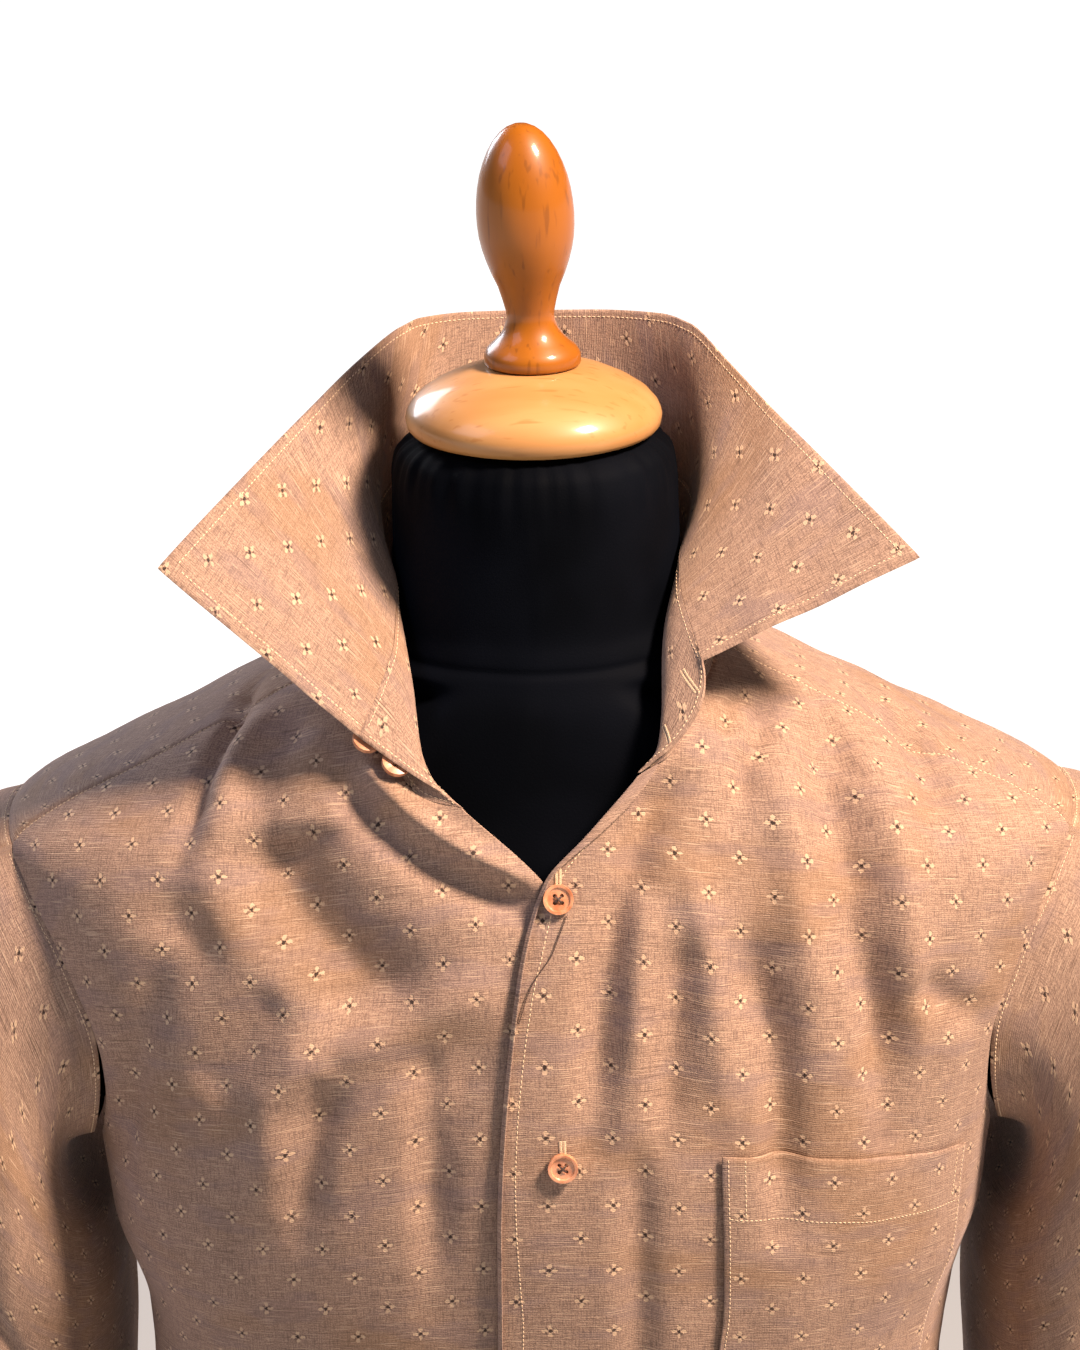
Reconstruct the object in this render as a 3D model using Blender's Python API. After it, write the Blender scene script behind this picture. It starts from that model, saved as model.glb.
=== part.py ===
"""Cotton shirt worn by a limbless dress form, in metres, +Z up.

The origin is on the floor under the middle of the stand. The garment faces -Y and the wearer's
left is +X. Every panel of the body is cut from one draped surface, given by a turn round the body
(0 at the front, 90 at the wearer's left side, in degrees) and a height, so neighbours meet at
their seams with a small gap.
"""

import math

import bmesh
import bpy
import numpy as np

# Driving sizes

MM = 0.001
BODY_WALL = 1.5 * MM
COLLAR_WALL = 2.0 * MM
SEAM_GAP = 0.3 * MM
LAP_LIFT = BODY_WALL + 1.0 * MM
LAP_FADE = 45 * MM
FOLD_REACH = 3.0
NORMAL_PASSES = 3
MM_PER_TURN = 2.2

NECK_TOP = 936 * MM
FINIAL_LEAN = -0.033

HEM_FRONT = 118 * MM
HEM_BACK = 112 * MM
HEM_SIDE_RISE = 62 * MM
UNDERARM = 640 * MM
YOKE_NECK_TURN = 70.0
YOKE_BOW = 26 * MM
YOKE_ROWS = 6
SIDE_ROWS = 11
FRONT_COLUMNS = 18

YOKE_PARTING = 0.2
SIDE_PARTING = 0.04
LEAF_PARTING = 0.7 * MM
ARM_PARTING = 0.8 * MM
UNDERARM_STEP = 4.2 * MM
FOOT_LIFT = BODY_WALL + 0.6 * MM
FOOT_RISE = 1.3 * MM
LAP_WIDTH = 26 * MM
LAP_TOP = 790 * MM

BUTTON_RADIUS = 5.7 * MM
BUTTON_HEIGHT = 2.6 * MM
BUTTON_LINE = 6 * MM
BUTTON_FIRST = 782 * MM
BUTTON_STEP = 99 * MM
BUTTON_COUNT = 7
BUTTON_SEAT = 0.7 * MM

# Rings of the dress form: height, half width, depth to the front, depth to the back, in mm

FORM_COLUMNS = ("height", "half_width", "front", "back")
FORM_RINGS = (
    (222, 164, 100, 108),
    (232, 168, 104, 112),
    (290, 168, 106, 113),
    (370, 157, 101, 103),
    (450, 146, 97, 91),
    (520, 152, 104, 98),
    (600, 167, 117, 108),
    (645, 173, 121, 112),
    (700, 187, 115, 111),
    (735, 204, 107, 107),
    (763, 213, 96, 101),
    (777, 207, 86, 90),
    (793, 190, 79, 86),
    (810.6, 161, 73, 82),
    (825.7, 131, 69, 79),
    (840.4, 100, 65.5, 75.5),
    (849, 77.5, 63, 74),
    (856, 66.5, 61, 71),
    (861, 62.5, 59.5, 68.5),
    (867, 59.5, 58.5, 64.5),
    (878, 57.5, 57.5, 60),
    (895, 56.5, 56.5, 57),
    (918, 56, 56, 56),
    (928, 54, 54, 54),
    (934, 48, 48, 48),
    (936, 40, 40, 40),
)

# Rings of the draped cloth's inner face, in mm: the fronts stand off the chest and hang from it

CLOTH_RINGS = (
    (105, 186, 125, 128),
    (200, 184, 124, 127),
    (290, 179, 123, 124),
    (350, 175, 122, 121),
    (450, 169, 121, 114),
    (530, 169, 123, 114),
    (575, 172, 126, 116),
    (595, 177, 127, 117),
    (615, 183, 128, 118),
    (640, 185, 128.5, 119),
    (660, 187, 128, 119),
    (700, 196, 124, 117.5),
    (735, 210, 116.5, 114),
    (763, 219, 109, 107.5),
    (774, 219.5, 105, 104),
    (781, 216.5, 102, 101.5),
    (787, 209.5, 100, 99.5),
    (794, 197, 97.5, 97.5),
    (805, 174.5, 94, 93.5),
    (818, 148, 89.5, 89.5),
    (831, 121.5, 82.5, 85.5),
    (843, 97, 74, 82),
    (852, 80, 68.5, 79),
    (859, 70.5, 65, 76.5),
    (864, 65.5, 61.5, 73.5),
    (868, 60.5, 57.5, 69.8),
    (872, 55.5, 53.5, 66),
)

# Roundness of a ring: the exponent of a superellipse, 2 for an ellipse

ROUNDNESS = ((100, 2.45), (450, 2.35), (640, 2.5), (700, 2.4), (790, 2.15), (865, 2.0), (940, 2.0))

# Edges on the draped surface, each a row of turn in degrees and height in mm

ARM_FRONT = ((90, 640), (81, 646), (71, 662), (63, 690), (60, 718), (61, 744), (66, 765),
             (73, 778))
ARM_TOP = ((73, 778), (82, 782), (90, 783), (98, 782), (107, 775), (113, 762), (117, 741))
ARM_BACK = ((90, 640), (99, 646), (108, 662), (115, 688), (118, 713), (117, 741))
ARM_STEPS = 8
ARM_TOP_STEPS = 5
BACK_SEAM_STEPS = 18
NECKLINE_OVER = ((0, 37.6, 824), (0.25, 49, 829), (0.5, 59, 841), (0.75, 64, 853),
                 (1, 63.2, 865))
NECKLINE_UNDER = ((0, 29.5, 814), (0.25, 44, 817), (0.5, 57, 831), (0.75, 63.5, 849),
                  (1, 63.2, 865))
NECKLINE_BACK = ((70, 865), (90, 866), (115, 867), (145, 868.5), (180, 869))

# Front edges: height and distance from the middle, in mm, up to the end of the neckline

EDGE_OVER = ((100, -22), (652, -18.4), (749, -9.7), (787, 1.2), (806, 19.5), (824, 37.6))
EDGE_UNDER = ((100, 20), (700, 20), (752, 18), (768, 14), (788, 0), (814, -29.5))

EDGE_STOPS = (615, 762)

# Soft folds that stand out from the cloth: from and to (turn, height), width across in mm, height

FOLD_COLUMNS = ("turn_a", "height_a", "turn_b", "height_b", "width", "rise")
FOLDS = (
    (22, 812, 8, 660, 17, 5.5),
    (38, 828, 22, 700, 16, 6.0),
    (54, 836, 40, 700, 15, 6.0),
    (64, 815, 60, 690, 14, 4.5),
    (72, 520, 60, 130, 26, 7.0),
    (42, 500, 36, 120, 30, 6.0),
    (16, 520, 12, 120, 26, 4.5),
    (-26, 795, -14, 660, 18, 6.0),
    (-46, 826, -30, 620, 19, 5.5),
    (-60, 822, -50, 640, 18, 5.5),
    (-70, 590, -62, 130, 28, 7.0),
    (-42, 580, -36, 130, 28, 6.0),
    (-20, 560, -16, 130, 26, 5.0),
    (122, 700, 130, 420, 24, 6.0),
    (112, 520, 108, 125, 26, 7.0),
    (140, 640, 146, 120, 30, 7.0),
    (166, 600, 168, 118, 28, 6.0),
    (192, 690, 190, 116, 30, 6.0),
    (216, 620, 216, 120, 30, 7.0),
    (238, 700, 232, 430, 24, 6.0),
    (250, 500, 250, 128, 26, 7.0),
)

# Collar sections round the neck, in mm: neckline foot, seam of band and leaf, leaf's outer edge.
# Stations run from the front end (0) to the middle of the back (1) on each side.

COLLAR_COLUMNS = ("station", "aside", "ahead", "seam_x", "seam_y", "seam_z", "edge_x", "edge_y",
                  "edge_z")
COLLAR_LEFT = (
    (0.00, 17, 4, 62.6, -67, 863, 143.4, -60, 900),
    (0.10, -8, 3, 59.0, -52, 871, 129, -40, 911.5),
    (0.22, -15, -2, 56.0, -36, 881, 112, -16, 925),
    (0.34, -10, -2, 57.0, -22, 889, 95, 8, 938),
    (0.46, -3, 0, 61.5, -4, 898, 79, 31, 952),
    (0.57, 0, 0, 64.0, 14, 903, 64.5, 53, 963.5),
    (0.70, 0, 0, 57.5, 38, 907.5, 53, 63.5, 965.5),
    (0.85, 0, 0, 35, 60, 911, 33, 72, 965.5),
    (1.00, 0, 0, 0, 69, 912, 0, 76.5, 965),
)
COLLAR_RIGHT = (
    (0.00, 0, 2, 68.0, -80, 840, 141.7, -60, 900.6),
    (0.10, -9, 2, 61.5, -65, 851, 127.5, -40, 912),
    (0.22, -13, 0, 55.5, -45, 866, 109, -14, 926),
    (0.34, -9, -2, 55.5, -26, 879, 90, 12, 940),
    (0.46, -3, 0, 61, -6, 893, 71, 36, 954),
    (0.57, 0, 0, 64, 13, 901, 54.5, 55, 963.5),
    (0.70, 0, 0, 57.5, 38, 907, 45.5, 64, 965.5),
    (0.85, 0, 0, 35, 60, 911, 30, 72, 965.5),
    (1.00, 0, 0, 0, 69, 912, 0, 76.5, 965),
)
COLLAR_HALF = 18

# The band's two buttons: the row of the band they sit on and how many columns in from its end

COLLAR_BUTTONS = (("collar_button_low", 2.5, 0.2), ("collar_button_high", 3.7, 0.25))
NECK_STATIONS = ((0, 0), (4 / 17, 0.5), (8 / 17, 1.0), (1.0, 2.0))

# Sleeve sections below the armhole, in mm: inner and outer point, depth to the front and back

SLEEVE_COLUMNS = ("run", "inner_x", "inner_z", "outer_x", "outer_z", "front", "back")
SLEEVE_SECTIONS = (
    (0.00, 189, 633, 216, 783, 66, 70),
    (0.04, 190.5, 626, 229, 777, 70, 74),
    (0.09, 191, 614, 241, 758, 75, 78),
    (0.16, 188, 596, 250, 723, 79, 81),
    (0.25, 185, 568, 256, 672, 80, 82),
    (0.36, 186, 530, 258, 606, 77, 79),
    (0.50, 190, 466, 257, 516, 72, 74),
    (0.66, 197, 386, 254, 411, 66, 67),
    (0.84, 206, 296, 250, 303, 59, 60),
    (1.00, 212, 228, 247, 228, 50, 51),
)
SLEEVE_FOLDS = ((40, 3.0, 2.5), (118, 2.4, 3.0), (205, 2.0, 2.0), (262, 2.6, 3.0), (330, 3.2, 2.5))
CUFF_BOTTOM = 163 * MM
CUFF_BUTTON_HEIGHT = 196 * MM

POCKET_CORNERS = ((16, 683), (59, 660), (58, 533), (17.5, 550))
POCKET_POINT = 10 * MM

# Turned outlines: radius and height, in mm

CAP_PROFILE = ((0, 0.3), (45, 0.3), (49.5, 3), (50, 6), (48.5, 10), (45, 14), (39, 18), (31, 22),
               (20, 25.6), (17, 26), (0, 26))
FINIAL_PROFILE = ((0, 26.3), (18.3, 26.3), (18.3, 31), (17, 33.5), (12, 38), (9.6, 43), (9.3, 47),
                  (12, 57), (16, 67), (18.2, 76), (18.6, 84), (17.8, 94), (15.2, 104), (10.8, 112),
                  (5.5, 117.5), (0, 119))
BASE_PROFILE = ((0, 0), (147, 0), (150, 3), (150, 11), (144, 18), (110, 22), (30, 25), (0, 25))
POST_PROFILE = ((0, 25.3), (18, 25.3), (18, 221.7), (0, 221.7))
BUTTON_PROFILE = ((0, 0), (0.8, 0), (1, 0.3), (1, 0.75), (0.9, 1), (0.72, 0.93), (0.62, 0.7),
                  (0, 0.7))


def smooth(rows, column, at):
    """Read one column of a table at the given places, with a curve that never overshoots."""
    table = np.array([(row[0], row[column]) for row in rows], dtype=float)
    x, y = table[:, 0], table[:, 1]
    step, slope = np.diff(x), np.diff(y) / np.diff(x)
    tangent = np.concatenate([[slope[0]], np.zeros(len(x) - 2), [slope[-1]]])
    for i in range(1, len(x) - 1):
        if slope[i - 1] * slope[i] > 0:
            before, after = 2 * step[i] + step[i - 1], step[i] + 2 * step[i - 1]
            tangent[i] = (before + after) / (before / slope[i - 1] + after / slope[i])
    at = np.clip(np.asarray(at, dtype=float), x[0], x[-1])
    i = np.clip(np.searchsorted(x, at) - 1, 0, len(x) - 2)
    t = (at - x[i]) / step[i]
    return ((1 + 2 * t) * (1 - t) ** 2 * y[i] + t * (1 - t) ** 2 * step[i] * tangent[i]
            + t * t * (3 - 2 * t) * y[i + 1] + t * t * (t - 1) * step[i] * tangent[i + 1])


def fade(value, start, end):
    """Rise softly from 0 at start to 1 at end."""
    t = np.clip((value - start) / (end - start), 0, 1)
    return t * t * (3 - 2 * t)


def ring_point(rings, turn, height):
    """A point on a body given by its rings, at a turn in degrees and a height in metres."""
    level = np.asarray(height) / MM
    angle = np.radians(turn)
    power = 2 / smooth(ROUNDNESS, 1, level)
    side, ahead = np.sin(angle), np.cos(angle)
    depth = np.where(ahead > 0, smooth(rings, 2, level), smooth(rings, 3, level)) * MM
    x = smooth(rings, 1, level) * MM * np.sign(side) * np.abs(side) ** power
    y = -depth * np.sign(ahead) * np.abs(ahead) ** power
    return np.stack([x, y, np.asarray(height) + 0 * x], axis=-1)


def unit(vector):
    """The vector at length 1."""
    return vector / np.maximum(np.linalg.norm(vector, axis=-1, keepdims=True), 1e-12)


def cloth_normal(turn, height):
    """The outward direction of the draped surface, read across small steps."""
    across = (ring_point(CLOTH_RINGS, turn + 1.5, height)
              - ring_point(CLOTH_RINGS, turn - 1.5, height))
    up = (ring_point(CLOTH_RINGS, turn, height + 2 * MM)
          - ring_point(CLOTH_RINGS, turn, height - 2 * MM))
    return unit(np.cross(across, up))


def fold_rise(turn, height):
    """How far the folds lift the cloth at a turn and a height."""
    place = ring_point(CLOTH_RINGS, turn, height)
    rise = np.zeros(np.shape(place)[:-1])
    for turn_a, height_a, turn_b, height_b, width, top in FOLDS:
        run = np.clip((np.asarray(height) / MM - height_a) / (height_b - height_a), 0, 1)
        crest = ring_point(CLOTH_RINGS, turn_a + (turn_b - turn_a) * run,
                           np.clip(height, min(height_a, height_b) * MM,
                                   max(height_a, height_b) * MM))
        apart = np.linalg.norm(place - crest, axis=-1) / (width * MM)
        ends = fade(run, 0, 0.25) * (1 - 0.55 * fade(run, 0.8, 1))
        rise = rise + top * MM * ends * np.exp(-apart ** 2 * FOLD_REACH)
    return rise


def cloth_point(turn, height, lift):
    """A point on the draped cloth, lifted off its inner face."""
    out = cloth_normal(turn, height)
    reach = np.asarray(fold_rise(turn, height) + lift)
    return ring_point(CLOTH_RINGS, turn, height) + out * reach[..., None]


def turn_at(distance, height):
    """The turn, near the front, that lies at a distance from the middle."""
    level = np.asarray(height) / MM
    share = np.asarray(distance) / (smooth(CLOTH_RINGS, 1, level) * MM)
    side = np.sign(share) * np.abs(share) ** (smooth(ROUNDNESS, 1, level) / 2)
    return np.degrees(np.arcsin(np.clip(side, -1, 1)))


def along(rows, count):
    """Points spread evenly along a row of turns and heights."""
    table = np.array(rows, dtype=float)
    step = np.hypot(np.diff(table[:, 0]) * MM_PER_TURN, np.diff(table[:, 1]))
    run = np.concatenate([[0], np.cumsum(step)]) / step.sum()
    at = np.linspace(0, 1, count)
    turn = smooth(np.column_stack([run, table[:, 0]]), 1, at)
    level = smooth(np.column_stack([run, table[:, 1]]), 1, at)
    return np.stack([turn, level * MM], axis=-1)


def hem_height(turn):
    """Height of the shirt-tail hem: low at the front and back, high at the sides."""
    angle = np.radians(turn)
    low = np.where(np.cos(angle) > 0, HEM_FRONT, HEM_BACK)
    return low + HEM_SIDE_RISE * np.sin(angle) ** 4


def side_rise(count, shift):
    """The side seam, from the hem up to the underarm."""
    level = np.linspace(float(hem_height(90.0)), UNDERARM - SEAM_GAP, count)
    return np.stack([np.full(count, 90.0 + shift), level], axis=-1)


def coons(bottom, top, left, right):
    """Fill a four-sided patch of turns and heights from its edges."""
    u = np.linspace(0, 1, len(bottom))[None, :, None]
    v = np.linspace(0, 1, len(left))[:, None, None]
    ruled = (1 - v) * bottom[None] + v * top[None] + (1 - u) * left[:, None] + u * right[:, None]
    corners = ((1 - u) * (1 - v) * bottom[0] + u * (1 - v) * bottom[-1]
               + (1 - u) * v * top[0] + u * v * top[-1])
    return ruled - corners


def new_object(name, vertices, faces, material):
    """A closed mesh object with its faces turned outward."""
    mesh = bpy.data.meshes.new(name)
    mesh.from_pydata([tuple(v) for v in vertices], [], faces)
    shape = bmesh.new()
    shape.from_mesh(mesh)
    bmesh.ops.remove_doubles(shape, verts=shape.verts, dist=1e-6)
    bmesh.ops.recalc_face_normals(shape, faces=shape.faces)
    shape.to_mesh(mesh)
    shape.free()
    mesh.materials.append(material)
    mesh.shade_smooth()
    mesh.set_sharp_from_angle(angle=math.radians(40))
    thing = bpy.data.objects.new(name, mesh)
    bpy.context.scene.collection.objects.link(thing)
    return thing


def wall(name, near, far, material, ring=False):
    """A wall between two matching grids; a ring joins its last column to its first."""
    rows, columns = near.shape[:2]
    vertices = np.concatenate([near.reshape(-1, 3), far.reshape(-1, 3)])
    span = columns if ring else columns - 1
    shift = rows * columns

    def corner(i, j, side):
        return side * shift + i * columns + j % columns

    faces = []
    for i in range(rows - 1):
        for j in range(span):
            for side in (0, 1):
                faces.append((corner(i, j, side), corner(i, j + 1, side),
                              corner(i + 1, j + 1, side), corner(i + 1, j, side)))
    for j in range(span):
        for i in (0, rows - 1):
            faces.append((corner(i, j, 0), corner(i, j + 1, 0), corner(i, j + 1, 1),
                          corner(i, j, 1)))
    if not ring:
        for i in range(rows - 1):
            for j in (0, columns - 1):
                faces.append((corner(i, j, 0), corner(i + 1, j, 0), corner(i + 1, j, 1),
                              corner(i, j, 1)))
    return new_object(name, vertices, faces, material)


def panel(name, grid, material, lift=0.0):
    """A cloth panel from its grid of turns and heights."""
    turn, height = grid[..., 0], grid[..., 1]
    near = cloth_point(turn, height, lift)
    far = cloth_point(turn, height, lift + BODY_WALL)
    return wall(name, near, far, material)


def stack(name, rings, material):
    """A closed body from level rings of points, low to high, with flat ends."""
    count, around = rings.shape[:2]
    faces = [tuple(range(around)), tuple((count - 1) * around + j for j in range(around))]
    for i in range(count - 1):
        for j in range(around):
            after = (j + 1) % around
            faces.append((i * around + j, i * around + after, (i + 1) * around + after,
                          (i + 1) * around + j))
    return new_object(name, rings.reshape(-1, 3), faces, material)


def turned(name, profile, sides, material, lean=0.0, unit_size=MM):
    """A turned piece from its outline of radius and height; lean moves its axis sideways."""
    outline = np.array(profile, dtype=float) * unit_size
    angle = np.linspace(0, 2 * math.pi, sides, endpoint=False)
    vertices, rows = [], []
    for radius, height in outline:
        centre = lean * (height - outline[0, 1])
        spots = [(centre, 0, height)] if radius == 0 else [
            (centre + radius * math.cos(a), radius * math.sin(a), height) for a in angle]
        rows.append((len(vertices), len(spots)))
        vertices.extend(spots)
    faces = []
    for (low, low_count), (high, high_count) in zip(rows, rows[1:]):
        for j in range(sides):
            after = (j + 1) % sides
            ends = [low + j % low_count, low + after % low_count,
                    high + after % high_count, high + j % high_count]
            faces.append(tuple(dict.fromkeys(ends)))
    return new_object(name, vertices, faces, material)


def finish(name, colour, roughness, metallic=0.0):
    """A plain finish with a colour, roughness and metallic value."""
    material = bpy.data.materials.new(name)
    material.use_nodes = True
    shader = material.node_tree.nodes["Principled BSDF"]
    shader.inputs["Base Color"].default_value = (*colour, 1)
    shader.inputs["Roughness"].default_value = roughness
    shader.inputs["Metallic"].default_value = metallic
    material.diffuse_color = (*colour, 1)
    return material


def neckline(side, count):
    """Turns and heights of the front neckline on one side, from the front end to the yoke."""
    rows = NECKLINE_OVER if side > 0 else NECKLINE_UNDER
    at = np.linspace(0, 1, count)
    level = smooth(rows, 2, at) * MM
    turn = turn_at(smooth(rows, 1, at) * MM, level)
    blend = fade(at, 0.6, 1)
    return np.stack([(turn * (1 - blend) + YOKE_NECK_TURN * blend) * side, level], axis=-1)


def yoke_edge(count, shift):
    """The seam of yoke and front, from the neckline out to the armhole."""
    share = np.linspace(0, 1, count)
    start, end = np.array(NECKLINE_BACK[0], float), np.array(ARM_TOP[0], float)
    turn = start[0] + (end[0] - start[0]) * share + shift
    return np.stack([turn, (start[1] + (end[1] - start[1]) * share) * MM], axis=-1)


def front_grid(side, columns):
    """Turns and heights of a front panel, from its edge to the side seam and the yoke."""
    arm = along(ARM_FRONT, ARM_STEPS + 1)[1:]
    ridge = yoke_edge(YOKE_ROWS, -YOKE_PARTING)[-2::-1]
    right = np.concatenate([side_rise(SIDE_ROWS, -SIDE_PARTING), arm, ridge])
    edge = EDGE_OVER if side > 0 else EDGE_UNDER
    stops = (0, SIDE_ROWS - 1, SIDE_ROWS - 1 + ARM_STEPS, len(right) - 1)
    level = np.interp(np.arange(len(right)), stops,
                      (float(hem_height(0.0)) / MM, *EDGE_STOPS, edge[-1][0]))
    left = np.stack([turn_at(smooth(edge, 1, level) * MM, level * MM), level * MM], axis=-1)
    right[:, 0] = right[:, 0] * side
    top = neckline(side, columns)
    top[0], top[-1] = left[-1], right[-1]
    turns = np.linspace(left[0, 0], right[0, 0], columns)
    bottom = np.stack([turns, hem_height(turns)], axis=-1)
    left[0], right[0] = bottom[0], bottom[-1]
    return coons(bottom, top, left, right)


def lap_lift(grid):
    """Lift of the over lap, full across the button line and gone past it."""
    distance = ring_point(CLOTH_RINGS, grid[..., 0], grid[..., 1])[..., 0]
    across = 1 - fade(distance, LAP_WIDTH, LAP_WIDTH + LAP_FADE)
    return LAP_LIFT * across * (1 - fade(grid[..., 1], LAP_TOP, LAP_TOP + 25 * MM))


def back_grid():
    """Turns and heights of the back panel below the yoke."""
    arm = along(ARM_BACK, ARM_STEPS + 1)[1:]
    left = np.concatenate([side_rise(SIDE_ROWS, SIDE_PARTING), arm])
    right = left.copy()
    right[:, 0] = 360 - left[:, 0]
    turns = np.linspace(90, 270, BACK_SEAM_STEPS + 1)
    bottom = np.stack([turns, hem_height(turns)], axis=-1)
    bottom[0], bottom[-1] = left[0], right[0]
    top = back_seam(-SEAM_GAP)
    top[0], top[-1] = left[-1], right[-1]
    return coons(bottom, top, left, right)


def back_seam(shift):
    """The seam between yoke and back, bowed a little across the shoulder blades."""
    end = ARM_BACK[-1]
    turns = np.linspace(end[0], 360 - end[0], BACK_SEAM_STEPS + 1)
    bow = np.cos(np.radians(turns - 180)) - math.cos(math.radians(end[0] - 180))
    return np.stack([turns, end[1] * MM + bow * YOKE_BOW + shift], axis=-1)


def yoke_grid():
    """Turns and heights of the yoke, from the neckline out to the armholes and the back."""
    columns = 2 * ARM_TOP_STEPS + BACK_SEAM_STEPS + 1
    turns = np.linspace(YOKE_NECK_TURN + YOKE_PARTING, 360 - YOKE_NECK_TURN - YOKE_PARTING,
                        columns)
    level = smooth(NECKLINE_BACK, 1, 180 - np.abs(turns - 180)) * MM
    inner = np.stack([turns, level], axis=-1)
    arm = along(ARM_TOP, ARM_TOP_STEPS + 1)[:-1]
    arm[0, 0] = arm[0, 0] + YOKE_PARTING
    far_arm = arm[::-1] * np.array([-1, 1]) + np.array([360, 0])
    outer = np.concatenate([arm, back_seam(SEAM_GAP), far_arm])
    share = np.linspace(0, 1, YOKE_ROWS)[:, None, None]
    return (1 - share) * inner[None] + share * outer[None]


def collar_curves(table, side):
    """Foot, bend, seam and outer edge of the collar on one side, front end to middle back."""
    at = np.linspace(0, 1, COLLAR_HALF)
    seam = np.stack([smooth(table, 3, at) * side, smooth(table, 4, at), smooth(table, 5, at)],
                    axis=-1) * MM
    edge = np.stack([smooth(table, 6, at) * side, smooth(table, 7, at), smooth(table, 8, at)],
                    axis=-1) * MM
    place = smooth(NECK_STATIONS, 1, at)
    front = neckline(side, 41)
    spread = np.linspace(YOKE_NECK_TURN, 180, 41)
    rear = np.stack([spread * side, smooth(NECKLINE_BACK, 1, spread) * MM], axis=-1)
    path = np.concatenate([front, rear[1:]])
    run = np.linspace(0, 2, len(path))
    turn = np.interp(place, run, path[:, 0])
    level = np.interp(place, run, path[:, 1])
    foot = cloth_point(turn, level, FOOT_LIFT) + np.array([0, 0, FOOT_RISE])
    push = np.stack([side * smooth(table, 1, at), -smooth(table, 2, at), 0 * at], axis=-1) * MM
    return foot, (foot + seam) / 2 + push, seam, edge


def grid_normal(grid, ring=False):
    """Directions square to a grid of points."""
    down = np.gradient(grid, axis=0)
    if ring:
        wide = np.concatenate([grid[:, -1:], grid, grid[:, :1]], axis=1)
        across = np.gradient(wide, axis=1)[:, 1:-1]
    else:
        across = np.gradient(grid, axis=1)
    return unit(np.cross(across, down))


def collar_lines():
    """The collar's four lines, from the wearer's left front end round to the right one."""
    left = collar_curves(COLLAR_LEFT, 1)
    right = collar_curves(COLLAR_RIGHT, -1)
    return [np.concatenate([a, b[-2::-1]]) for a, b in zip(left, right)]


def build_collar(cloth, shell):
    """The band that stands on the neckline and the leaf above it, opened wide at the front."""
    foot, bend, seam, edge = collar_lines()
    band = np.stack([foot * (1 - s) ** 2 + bend * 2 * s * (1 - s) + seam * s * s
                     for s in (0, 0.25, 0.5, 0.75, 1)])
    band_in = toward_neck(band)
    run = unit(np.gradient(seam, axis=0))
    rise = edge - seam
    rise = unit(rise - run * np.sum(rise * run, axis=-1, keepdims=True))
    start = seam + rise * LEAF_PARTING
    leaf = np.stack([start + (edge - start) * s for s in (0, 0.22, 0.5, 0.77, 1)])
    leaf_in = toward_neck(leaf)
    shared = unit(band_in[-1] + leaf_in[0])
    band_in[-1], leaf_in[0] = shared, shared
    wall("collar_stand", band, band + band_in * COLLAR_WALL, cloth)
    wall("collar_leaf", leaf, leaf + leaf_in * COLLAR_WALL, cloth)
    square = grid_normal(band)
    square = square * np.sign(np.sum(square * band_in, axis=-1, keepdims=True))
    for name, row, inward in COLLAR_BUTTONS:
        out = -unit(between(square, row, inward))
        place_button(name, between(band, row, inward) + out * BUTTON_SEAT, out, shell)


def between(grid, row, inward):
    """A grid's value at a broken row number, some columns in from its last one."""
    low, share = math.floor(row), row - math.floor(row)
    ends = grid[low:low + 2, -1] * (1 - inward) + grid[low:low + 2, -2] * inward
    return ends[0] * (1 - share) + ends[1] * share


def toward_neck(grid):
    """Directions square to a collar grid, on the side of the neck."""
    normal = grid_normal(grid)
    for _ in range(NORMAL_PASSES):
        wide = np.concatenate([normal[:, :1], normal, normal[:, -1:]], axis=1)
        normal = unit(wide[:, :-2] + 2 * normal + wide[:, 2:])
    middle = grid.reshape(-1, 3).mean(axis=0)
    centre = np.array([0.0, 0.0, middle[2]])
    back = normal[:, grid.shape[1] // 2]
    sign = np.sign(np.sum(back * (centre - grid[:, grid.shape[1] // 2]), axis=-1).mean())
    return normal * sign


def armhole_ring():
    """The armhole as a ring: points, outward directions, and the angle round the sleeve."""
    front = along(ARM_FRONT, ARM_STEPS + 1)
    top = along(ARM_TOP, ARM_TOP_STEPS + 1)
    back = along(ARM_BACK, ARM_STEPS + 1)
    path = np.concatenate([top[:-1], back[::-1][:-1], front[:-1]])
    angle = np.concatenate([np.linspace(48, -58, ARM_TOP_STEPS + 1)[:-1],
                            np.linspace(-58, -180, ARM_STEPS + 1)[:-1],
                            np.linspace(-180, -312, ARM_STEPS + 1)[:-1]])
    out = cloth_normal(path[:, 0], path[:, 1])
    return cloth_point(path[:, 0], path[:, 1], 0.0), out, np.radians(angle)


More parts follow.
